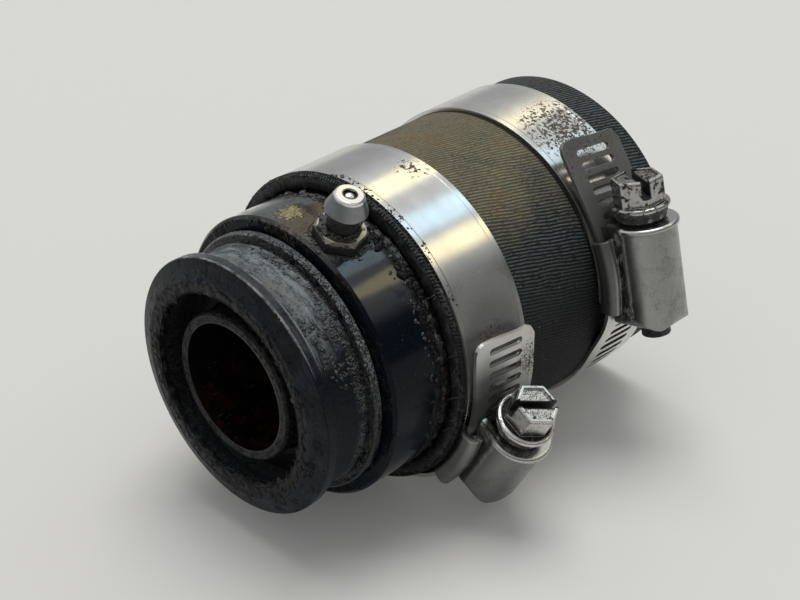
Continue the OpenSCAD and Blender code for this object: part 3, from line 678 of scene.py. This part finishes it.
def pressing_finish(clamp, grime_and_shade_share, shade):
    """Satin stainless pressing, with dirt packed where housing and saddle meet and a front flap darkened by
    grime and painted shade. A smaller shade makes it darker as painted shade; its lip and edges are lighter
    as painted highlight."""
    finish = Finish(clamp + "_clamp_steel")
    joint = joints[clamp + "_screw_turn"]
    middle = Vector(joint["pos_m"])
    outwards = Vector((0, middle.y, middle.z)).normalized()
    height = finish.along(outwards)
    reach = finish.along(screw_direction(clamp))
    sideways = finish.axis("X").off(middle.x)
    cloud = finish.grain(3, 4, 0.6)
    fine = finish.grain(0.3, 3, 0.6)
    edge = finish.edges(0.15)
    # Painted shade: a smaller shade makes the whole pressing a darker copy of the same steel
    light = Vector((0.42, 0.42, 0.41)) * shade
    colour = finish.mix(finish.rise(cloud, 0.35, 0.7), light * 0.75, light)
    # Painted highlight: the pressing's edges are made lighter, where light catches them
    colour = finish.mix(edge * 0.6, colour, (0.80, 0.80, 0.78))
    seam = finish.zone(sideways, *SEAM_OFF) * finish.past(height, *SEAM_R)
    dirt_and_shade_film = finish.rise(cloud + fine * 0.4, 0.6, 0.95) * 0.5
    hose_side = middle.x - finish.axis("X")
    # The front flap is darkened by grime and painted shade
    dirt_and_shade_film = dirt_and_shade_film.most(finish.past(hose_side, *FLAP_OFF) * grime_and_shade_share)
    colour = finish.mix(dirt_and_shade_film, colour, (0.08, 0.078, 0.07))
    finish.soften(0.3)
    finish.bump(finish.grain(0.5, 3, 0.6), 0.012, 0.5)
    # Painted highlight: the housing's lip is made lighter and smoother, where it catches the light
    painted_lip_highlight = finish.past(reach, *LIP_HIGHLIGHT_S)
    colour = finish.mix(painted_lip_highlight * 0.5, colour, (0.72, 0.72, 0.70))
    rough = 0.3 + dirt_and_shade_film * 0.3 + (fine - 0.5) * 0.08 - painted_lip_highlight * 0.12
    dirty = seam * finish.rise(cloud, 0.3, 0.5)
    colour, rough = crumbs(finish, dirty, colour, rough)
    return finish.done(colour, rough, Metallic=1 - dirty)


low_corner, high_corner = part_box("nipple_ball")
nipple_spot = (low_corner + high_corner) / 2


def nipple_finish():
    """Zinc-plated steel, bright at the tip and stained at the hexagon, dark in its hole as painted shade,
    with edges lighter as painted highlight
    """
    finish = Finish("nipple_zinc")
    axis = -Vector(joints["nipple_check"]["axis"])
    high = finish.along(axis)
    off_axis = finish.off_line(nipple_spot, axis)
    cloud = finish.grain(1.3, 4, 0.65)
    fine = finish.grain(0.2, 3, 0.6)
    edge = finish.edges(0.15)
    tip = finish.past(high, *NIPPLE_TIP_N)
    cone = finish.past(high, *NIPPLE_CONE_N)
    colour = finish.mix(cloud, (0.17, 0.175, 0.18), (0.30, 0.305, 0.31))
    colour = finish.mix(finish.past(high, *NIPPLE_HEX_N), colour, (0.36, 0.35, 0.29))
    colour = finish.mix((1 - cone) * finish.rise(cloud, 0.42, 0.66), colour, (0.20, 0.17, 0.11))
    # Painted highlight: the nipple's edges are made lighter, where light catches them
    colour = finish.mix(edge * 0.6, colour, (0.62, 0.60, 0.54))
    colour = finish.mix(tip, colour, (0.86, 0.85, 0.83))
    # Painted shade: the inside of the hole round the ball is made dark
    colour = finish.mix(finish.past(off_axis, *NIPPLE_HOLE_SHADE_R), colour, (0.10, 0.09, 0.08))
    rough = finish.blend(tip, 0.34, 0.16) + (fine - 0.5) * 0.1
    finish.soften(0.12)
    dirty = finish.zone(high, *NIPPLE_NECK_N)
    dirty = dirty.most(finish.zone(high, *NIPPLE_HEX_TOP_N) * finish.past(off_axis, *NIPPLE_HEX_TOP_R))
    dirty = dirty.most(finish.past(high + (cloud - 0.5) * (2 * mm), *NIPPLE_FOOT_N))
    dirty = dirty.most(finish.rise(cloud, 0.60, 0.66) * (1 - cone))
    colour, rough = crumbs(finish, dirty, colour, rough, 0.25, 0.4)
    return finish.done(colour, rough, Metallic=0.9 * (1 - dirty))


def dirt_finish(name, silver):
    """Packed greasy dirt with bright grains, dusty on top where it is silvery"""
    finish = Finish(name, Specular_IOR_Level=0.15 + silver * 0.3)
    dusty = finish.rise(finish.upward(), 0.2, 0.9)
    whole = finish.rise(finish.grain(1), 0.0, 0.1)
    colour, rough = crumbs(finish, whole, SOOT, 0.4, silver * 0.75, silver, dusty * silver)
    return finish.done(colour, rough * (0.6 + silver * 0.5))


def torn_rubber_finish():
    """The hose's torn near edge"""
    finish = Finish("torn_rubber", Specular_IOR_Level=0.4)
    cloud = finish.grain(1.5, 4, 0.65)
    fine = finish.grain(0.25, 3, 0.6)
    dull = finish.rise(cloud + fine * 0.4, 0.6, 0.95)
    colour = finish.mix(dull, (0.009, 0.010, 0.011), (0.055, 0.056, 0.054))
    outer = finish.past(finish.radius(), *HOSE_RIM_R) * finish.rise(finish.upward(), 0.1, 0.8)
    colour = finish.mix(outer * finish.rise(fine, 0.35, 0.55), colour, (0.12, 0.105, 0.08))
    finish.bump(fine, 0.12)
    finish.bump(cloud, 0.3, 0.6)
    return finish.done(colour, 0.45 + fine * 0.3)


def thread_finish():
    """Ply threads, black with dust"""
    finish = Finish("ply_thread")
    cloud = finish.grain(0.8, 3, 0.6)
    colour = finish.mix(finish.rise(cloud, 0.4, 0.65), (0.02, 0.02, 0.02), (0.10, 0.095, 0.085))
    return finish.done(colour, 0.7)


def floor_finish():
    """Pale floor. The camera and the metal see it a little lighter than it lights the part."""
    finish = Finish("pale_floor", Specular_IOR_Level=0.2, Emission_Strength=1.0)
    seen = finish.ray("Camera").most(finish.ray("Glossy")).most(finish.ray("Transmission"))
    glow = finish.mix(seen, (0.0, 0.0, 0.0), (0.06, 0.06, 0.058))
    colour = finish.mix(finish.grain(400, 3, 0.5), (0.80, 0.795, 0.775), (0.84, 0.835, 0.815))
    return finish.done(colour, 0.85, Emission_Color=glow)


def dress(node, material):
    """Gives a CAD node its material, in every slot that it has"""
    for slot in nodes[node].material_slots:
        slot.material = material


near_spot = Vector(joints["near_screw_turn"]["pos_m"])
far_spot = Vector(joints["far_screw_turn"]["pos_m"])
bearing_steel = metal_finish("bearing_steel", (0.62, 0.62, 0.62), (0.16, 0.13, 0.09), 0.16, 0.5)
phosphate = metal_finish("phosphate_steel", (0.16, 0.16, 0.17), (0.05, 0.04, 0.03), 0.38, 0.6)
spring_wire = metal_finish("spring_wire", (0.42, 0.42, 0.41), (0.10, 0.08, 0.05), 0.3, 0.6, 1)
case_steel = dirt_finish("seal_case_steel", 0.0)
cage_brass = metal_finish("cage_brass", (0.62, 0.45, 0.20), (0.16, 0.10, 0.04), 0.3, 0.6)
ball_steel = metal_finish("check_ball_steel", (0.75, 0.75, 0.74), (0.25, 0.22, 0.18), 0.1, 0.3, 1)
seal_rubber = rubber_finish("seal_rubber", (0.007, 0.0065, 0.006), (0.02, 0.017, 0.014))
near_strip = steel_strip("near_band_steel", near_spot.x, [(near_tip_place, 17)],
                         [(fleck_place, 3.5, 0.07, 0.85), (near_tip_place, 5, 0.08, 0.4)])
far_strip = steel_strip("far_band_steel", far_spot.x, [(far_spot, 17)], [(crust_place, 9.5, 0.12, 0.6)], 0.05)
# Near tail: a dark patch at its foot that is dirt and painted shadow, and steel darkened as painted shade
near_tail_steel = steel_strip("near_tail_steel", near_spot.x, [(near_spot, 24), (foot_place, 9)],
                              [(speck_place, 4.5, 0.09, 0.32)], 0.2, 0.85)
far_tail_steel = steel_strip("far_tail_steel", far_spot.x, [(far_spot, 34)],
                             [(far_tip_place, 9, 0.02, 0.5)], 0.12, 0.52)

dress("nose_flange", nose_finish())
dress("lock_ring", ring_finish())
dress("carrier_body", body_finish())
dress("shaft_sleeve", sleeve_finish())
dress("hose_sleeve", hose_finish())
dress("nipple_body", nipple_finish())
dress("nipple_ball", ball_steel)
dress("near_band", near_strip)
dress("far_band", far_strip)
dress("near_band_tail", near_tail_steel)
dress("far_band_tail", far_tail_steel)
for clamp in ("near", "far"):
    pressing = pressing_finish(clamp, FLAP_GRIME_AND_SHADE[clamp], PRESSING_SHADE[clamp])
    dress(clamp + "_saddle", pressing)
    dress(clamp + "_housing", pressing)
    dress(clamp + "_screw", screw_finish(clamp, SCREW_SOIL_AND_SHADE[clamp]))
for node in ("bearing_outer_ring", "bearing_inner_ring", "bearing_balls"):
    dress(node, bearing_steel)
for node in ("bearing_snap_ring", "sleeve_retaining_ring"):
    dress(node, phosphate)
for node in ("front_garter_spring", "rear_garter_spring", "nipple_spring"):
    dress(node, spring_wire)
for node in ("front_seal_case", "rear_seal_case"):
    dress(node, case_steel)
for node in ("front_seal_lip", "rear_seal_lip", "nose_o_ring"):
    dress(node, seal_rubber)
dress("bearing_cage", cage_brass)

# ---------- dirt and frayed edges ----------

# Places in mm: clear of the part all round, clear of its front, and the barrel's surface
OUTSIDE_R = 45
IN_FRONT_X = -8
BARREL_R = 22.7
# Crumbs of dirt: how many, and how far from the nipple's axis they lie, in mm
FOOT_CRUMBS, FOOT_REACH = 80, (3.7, 5.0)
NECK_CRUMBS, NECK_REACH = 300, (1.9, 3.3)
# Distance from the nipple's axis of the hexagon's rim, in mm
RIM_R = 2.6
# Height on the nipple, from the shaft's axis, that crumbs fall from, and how far they may fall, in mm
NECK_DROP_N, NECK_DROP = 26.3, 3
# Size of the clumps that crumbs lie in: along the shaft in mm, round it in degrees, and on the front in mm
CLUMP_LENGTH, CLUMP_TURN, FRONT_CLUMP = 2.5, 7, 3
# Faces round a bead, and the size and depth of its ripples along the shaft, in mm
BEAD_STEPS, RIPPLE, RIPPLE_DEPTH = 420, 0.8, 0.12
# The hose's loose threads: where the hose's cut end is, how many, their radius in mm, and points along one
HOSE_CUT_X, THREADS, THREAD_R, THREAD_KNOTS = 22.3, 26, 0.045, 7

chance = random.Random(7)
grime = dirt_finish("packed_dirt", 0.8)
wet_grime = dirt_finish("wet_dirt", 0.15)
torn = torn_rubber_finish()


def outwards_at(angle):
    """The direction away from the shaft, at an angle from straight up towards +Y"""
    return Vector((0, math.sin(math.radians(angle)), math.cos(math.radians(angle))))


def touch(tree, x, angle):
    """Where a finger that comes in towards the shaft touches the part"""
    away = outwards_at(angle)
    place, normal, _, _ = tree.ray_cast(Vector((x, 0, 0)) + away * OUTSIDE_R * mm, -away)
    return place, normal


def finish_piece(name, shape, body, material):
    """Turns a bmesh into a piece that rides on a body, with its material"""
    bmesh.ops.remove_doubles(shape, verts=shape.verts, dist=0.5e-6)
    bmesh.ops.recalc_face_normals(shape, faces=shape.faces)
    mesh = bpy.data.meshes.new(name)
    shape.to_mesh(mesh)
    shape.free()
    mesh.polygons.foreach_set("use_smooth", [True] * len(mesh.polygons))
    mesh.materials.append(material)
    piece = bpy.data.objects.new(name, mesh)
    bpy.context.scene.collection.objects.link(piece)
    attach(piece, body)


def add_lump(shape, place, normal, size, flat):
    """One crumb of dirt, pressed onto the surface"""
    turn = normal.to_track_quat("Z", "Y").to_matrix().to_4x4()
    spin = Matrix.Rotation(chance.uniform(0, 6.28), 4, "Z")
    squeeze = Matrix.Diagonal((chance.uniform(0.7, 1.5), chance.uniform(0.6, 1.0), flat, 1))
    made = bmesh.ops.create_icosphere(shape, subdivisions=2, radius=size,
                                      matrix=Matrix.Translation(place) @ turn @ spin @ squeeze)
    for vertex in made["verts"]:
        push = noise.noise(vertex.co / (size * 0.9)) * size * 0.5
        vertex.co += (vertex.co - place).normalized() * push


def add_crumbs(name, spots, material=grime, body="carrier"):
    """Crumbs at (place, normal, size, flatness)"""
    shape = bmesh.new()
    for place, normal, size, flat in spots:
        add_lump(shape, place, normal, size, flat)
    finish_piece(name, shape, body, material)


def scattered(tree, count, x_range, angle_range, sizes, flat=0.45):
    """Crumbs scattered over a stretch of the part, thickest towards the first end of each range"""
    spots = []
    for _ in range(count):
        x = (x_range[0] + (x_range[1] - x_range[0]) * chance.random() ** 1.7) * mm
        angle = chance.uniform(*angle_range)
        clump = noise.noise(Vector((x / (CLUMP_LENGTH * mm), angle / CLUMP_TURN, 3)))
        place, normal = touch(tree, x, angle)
        if place is not None and clump > chance.uniform(-0.5, 0.15):
            spots.append((place, normal, chance.uniform(*sizes) * mm, flat))
    return spots


def front_crumbs(tree, count, radii, sizes):
    """Clumps of crumbs on the front of the part, between two distances from the shaft's axis"""
    spots = []
    for _ in range(count):
        side = outwards_at(chance.uniform(-180, 180)) * chance.uniform(*radii) * mm
        place, normal, _, _ = tree.ray_cast(side + Vector((IN_FRONT_X * mm, 0, 0)), Vector((1, 0, 0)))
        clump = noise.noise(side / (FRONT_CLUMP * mm))
        if place is not None and clump > chance.uniform(-0.25, 0.2):
            spots.append((place, normal, chance.uniform(*sizes) * mm, 0.4))
    return spots


def add_bead(name, outline, depth, size, material, seed):
    """A ring round the shaft whose surface is torn: the outline holds (radius, x) in mm"""
    shape = bmesh.new()
    corners = [shape.verts.new((x * mm, 0, radius * mm)) for radius, x in outline]
    edges = [shape.edges.new((a, b)) for a, b in zip(corners, corners[1:] + corners[:1])]
    bmesh.ops.spin(shape, geom=corners + edges, axis=(1, 0, 0), cent=(0, 0, 0), dvec=(0, 0, 0),
                   angle=2 * math.pi, steps=BEAD_STEPS, use_merge=True)
    for vertex in shape.verts:
        away = Vector((0, vertex.co.y, vertex.co.z)).normalized()
        torn_by = noise.turbulence(vertex.co / (size * mm) + Vector((seed, 0, 0)), 3, False) * depth * mm
        vertex.co += away * (torn_by - depth * mm * 0.7)
        ripple = noise.noise(vertex.co / (RIPPLE * mm) + Vector((0, seed, 0)))
        vertex.co.x += ripple * RIPPLE_DEPTH * mm
    finish_piece(name, shape, "carrier", material)


def add_threads(name, roots):
    """Loose threads of the hose's ply: each root is (place, direction, length)"""
    curve = bpy.data.curves.new(name, "CURVE")
    curve.dimensions = "3D"
    curve.bevel_depth = THREAD_R * mm
    curve.bevel_resolution = 1
    curve.use_fill_caps = True
    for place, way, length in roots:
        spline = curve.splines.new("POLY")
        spline.points.add(THREAD_KNOTS - 1)
        point, heading = place.copy(), way.normalized()
        for knot in spline.points:
            knot.co = (*point, 1)
            wander = Vector((chance.uniform(-1, 1), chance.uniform(-1, 1), chance.uniform(-1, 1)))
            heading = (heading + wander * 0.22).normalized()
            point = point + heading * length / (THREAD_KNOTS - 1)
    holder = bpy.data.objects.new(name, curve)
    bpy.context.scene.collection.objects.link(holder)
    bpy.context.view_layer.update()
    mesh = bpy.data.meshes.new_from_object(holder.evaluated_get(bpy.context.evaluated_depsgraph_get()))
    bpy.data.objects.remove(holder)
    shape = bmesh.new()
    shape.from_mesh(mesh)
    bpy.data.meshes.remove(mesh)
    finish_piece(name, shape, "carrier", thread_finish())


skin, _ = skin_tree(("nose_flange", "lock_ring", "carrier_body", "hose_sleeve", "near_band"))
add_bead("hose_gap_dirt",
         [(22.0, 20.7), (22.75, 20.75), (22.95, 21.3), (22.9, 21.9), (22.4, 22.3), (22.0, 22.3)],
         0.75, 1.6, grime, 1)
add_bead("ring_groove_dirt", [(18.3, 8.3), (19.0, 8.4), (19.3, 8.7), (19.15, 9.1), (18.3, 9.1)],
         0.5, 1.4, grime, 5)
add_bead("recess_edge_dirt",
         [(14.6, -0.2), (14.7, -0.9), (15.3, -1.28), (16.1, -1.3), (16.3, -1.1), (15.8, 0.4)],
         -0.9, 1.2, wet_grime, 3)
add_bead("hose_lip_tear", [(23.3, 22.12), (24.6, 22.1), (25.2, 22.25), (25.42, 22.6), (25.3, 22.95),
                           (24.7, 23.4), (23.6, 23.3)],
         0.45, 0.8, torn, 9)
add_crumbs("hose_gap_crumbs", scattered(skin, 330, (21.6, 18.2), (-110, 20), (0.14, 0.42)))
add_crumbs("band_edge_crumbs", scattered(skin, 170, (23.3, 24.6), (-60, 8), (0.09, 0.26)))
add_crumbs("groove_crumbs", scattered(skin, 260, (9.3, 6.8), (-75, 12), (0.12, 0.34)))
add_crumbs("neck_crumbs", scattered(skin, 150, (8.6, 3.6), (-72, -38), (0.12, 0.42), 0.35))
threads = []
for _ in range(THREADS):
    angle = chance.choice((chance.uniform(-110, -70), chance.uniform(-150, 40)))
    place, _ = touch(skin, HOSE_CUT_X * mm, angle)
    if place is not None:
        way = Vector((-1, 0, 0)) + outwards_at(angle) * chance.uniform(-0.6, 0.5)
        root = place - outwards_at(angle) * chance.uniform(0.1, 1.2) * mm
        threads.append((root, way, chance.uniform(0.8, 2.6) * mm))
add_threads("hose_threads", threads)


def foot_spots():
    """Crumbs round the foot of the grease nipple"""
    axis = -Vector(joints["nipple_check"]["axis"])
    tilt = math.degrees(math.atan2(axis.y, axis.z))
    spots = []
    for _ in range(FOOT_CRUMBS):
        turn, reach = chance.uniform(0, 2 * math.pi), chance.uniform(*FOOT_REACH)
        x = nipple_spot.x + reach * mm * math.cos(turn)
        spot, normal = touch(skin, x, tilt + math.degrees(reach * math.sin(turn) / BARREL_R))
        spots.append((spot, normal, chance.uniform(0.12, 0.42) * mm, 0.6))
    return spots


def neck_spots():
    """Crumbs on the hexagon of the grease nipple, round its neck. On the side that the photograph shows
    they leave its rim bare."""
    axis = -Vector(joints["nipple_check"]["axis"])
    tree, _ = skin_tree(("nipple_body",))
    across = axis.cross(Vector((1, 0, 0))).normalized()
    open_side = Vector((-0.1, -1, 0))
    spots = []
    for _ in range(NECK_CRUMBS):
        turn, reach = chance.uniform(0, 2 * math.pi), chance.uniform(*NECK_REACH) * mm
        side = Vector((1, 0, 0)) * math.cos(turn) + across * math.sin(turn)
        start = Vector((nipple_spot.x, 0, 0)) + axis * NECK_DROP_N * mm + side * reach
        spot, normal, _, _ = tree.ray_cast(start, -axis)
        hidden = side.dot(open_side) < 0.2 or reach < RIM_R * mm
        if spot is not None and hidden and (spot - start).length < NECK_DROP * mm:
            spots.append((spot, normal, chance.uniform(0.22, 0.55) * mm, 0.9))
    return spots


add_crumbs("nipple_foot_dirt", foot_spots())
add_crumbs("nipple_neck_dirt", neck_spots())
sleeve_skin, _ = skin_tree(("shaft_sleeve",))
add_crumbs("land_crumbs", front_crumbs(skin, 420, (15.5, 17.4), (0.10, 0.42)), wet_grime)
add_crumbs("sleeve_end_crumbs", front_crumbs(sleeve_skin, 260, (10.6, 11.7), (0.08, 0.26)), wet_grime,
           "shaft_sleeve")
add_crumbs("gap_lumps", scattered(skin, 70, (21.5, 19.4), (-58, 4), (0.35, 0.75), 0.6), wet_grime)

# ---------- floor and light ----------

# Half of the floor's width, where the lamps aim, and how far off they stand, in metres
FLOOR_HALF = 30
LAMP_AIM = Vector((0.035, 0, 0))
LAMP_AWAY = 1.8
# Strength of the sky for the camera, and for the light that falls on the part
CAMERA_SKY = 0.86
PART_SKY = 0.30
# Strength that metal mirrors, from the front to the back, near the floor and aloft
LOW_SKY = (0.05, 0.42)
HIGH_SKY = (0.55, 0.80)


def add_floor():
    """A floor that the part stands on"""
    low = min(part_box(node)[0].z for node in nodes)
    shape = bmesh.new()
    bmesh.ops.create_grid(shape, x_segments=2, y_segments=2, size=FLOOR_HALF)
    bmesh.ops.translate(shape, verts=shape.verts, vec=(0, 0, low))
    mesh = bpy.data.meshes.new("floor")
    shape.to_mesh(mesh)
    shape.free()
    floor = bpy.data.objects.new("floor", mesh)
    bpy.context.scene.collection.objects.link(floor)
    mesh.materials.append(floor_finish())


def add_softbox(name, azimuth, height, width, tall, radiance, colour):
    """A soft light. Azimuth is from +Y towards +X and height above the floor, both in degrees."""
    across, up = math.radians(azimuth), math.radians(height)
    away = Vector((math.sin(across) * math.cos(up), math.cos(across) * math.cos(up), math.sin(up)))
    light = bpy.data.lights.new(name, "AREA")
    light.shape = "RECTANGLE"
    light.size, light.size_y = width, tall
    light.color = colour
    light.energy = radiance * math.pi * width * tall
    holder = bpy.data.objects.new(name, light)
    holder.location = LAMP_AIM + away * LAMP_AWAY
    holder.rotation_euler = (-away).to_track_quat("-Z", "Y").to_euler()
    bpy.context.scene.collection.objects.link(holder)


def add_world():
    """Plain sky: even for the camera, dim for the part, and for metal darker at the front and below"""
    world = bpy.data.worlds.new("studio")
    bpy.context.scene.world = world
    world.use_nodes = True
    world.node_tree.nodes.clear()
    sky = Graph(world.node_tree)
    way = sky.node("ShaderNodeTexCoord", {}, {}, "Generated")
    back, height = sky.part(way, "Y"), sky.part(way, "Z")
    low = sky.blend(sky.rise(back, -0.45, 0.6), *LOW_SKY)
    high = sky.blend(sky.rise(back, -0.5, 0.6), *HIGH_SKY)
    mirrored = sky.blend(sky.rise(height, 0.24, 0.68), low, high)
    strength = sky.blend(sky.ray("Glossy").most(sky.ray("Transmission")), PART_SKY, mirrored)
    strength = sky.blend(sky.ray("Camera"), strength, CAMERA_SKY)
    shine = sky.node("ShaderNodeBackground", {}, {"Color": (0.97, 0.985, 1.0), "Strength": strength})
    sky.join(shine, sky.tree.nodes.new("ShaderNodeOutputWorld").inputs["Surface"])


add_floor()
add_world()
add_softbox("warm_back", 58, 42, 0.36, 0.50, 1.35, (1.0, 0.84, 0.36))
add_softbox("cool_top", 100, 50, 0.44, 0.50, 1.15, (0.50, 0.82, 1.0))
add_softbox("warm_side", 123, 41, 0.30, 0.40, 1.75, (1.0, 0.85, 0.42))
add_softbox("overhead", 50, 80, 1.1, 1.1, 4.2, (1.0, 0.99, 0.97))
bpy.context.scene.view_settings.view_transform = "Standard"

# ---------- measures ----------

# Heights above which only the named end is found, in mm: the nipple's from the shaft's axis, the screws'
# along their own axes. A tail's tip is its last few mm.
NIPPLE_END = 30.75
SCREW_END = 14.75
TAIL_END = 1.8


def middle_seen(node, test):
    """Where the camera sees the middle of a node's vertices that pass a test"""
    points = [seen_at(vertex.co) for vertex in nodes[node].data.vertices if test(vertex.co)]
    return [(min(values) + max(values)) / 2 for values in zip(*points)]


def write_points():
    """Works out how far each named point of the photograph is from where the camera sees the model's, without
    writing it out
    """
    shown = [seen_at(vertex.co) for node in nodes.values() for vertex in node.data.vertices]
    xs, ys = zip(*shown)
    found = {"left edge": min(xs) - PHOTO["left edge"], "right edge": max(xs) - PHOTO["right edge"],
             "top edge": min(ys) - PHOTO["top edge"], "bottom edge": max(ys) - PHOTO["bottom edge"]}
    nipple_axis = -Vector(joints["nipple_check"]["axis"])
    near_way, far_way = screw_direction("near"), screw_direction("far")
    features = {
        "nipple tip": ("nipple_body", lambda co: co.dot(nipple_axis) > NIPPLE_END * mm),
        "near screw top": ("near_screw", lambda co: co.dot(near_way) > SCREW_END * mm),
        "far screw top": ("far_screw", lambda co: co.dot(far_way) > SCREW_END * mm),
    }
    for clamp, way in (("near", near_way), ("far", far_way)):
        tail = clamp + "_band_tail"
        end = max(vertex.co.dot(way) for vertex in nodes[tail].data.vertices)
        features[clamp + " tail tip"] = (tail, lambda co, way=way, end=end: co.dot(way) > end - TAIL_END * mm)
    seen = {name: middle_seen(node, test) for name, (node, test) in features.items()}
    placed = {"grease smear": smear_place, "near band flecks": fleck_place, "far band crust": crust_place,
              "neck scar": scar_place, "near tail specks": speck_place, "near tail foot": foot_place}
    seen.update({name: seen_at(place) for name, place in placed.items()})
    for name, (x, y) in seen.items():
        found[name] = [x - PHOTO[name][0], y - PHOTO[name][1]]


write_points()
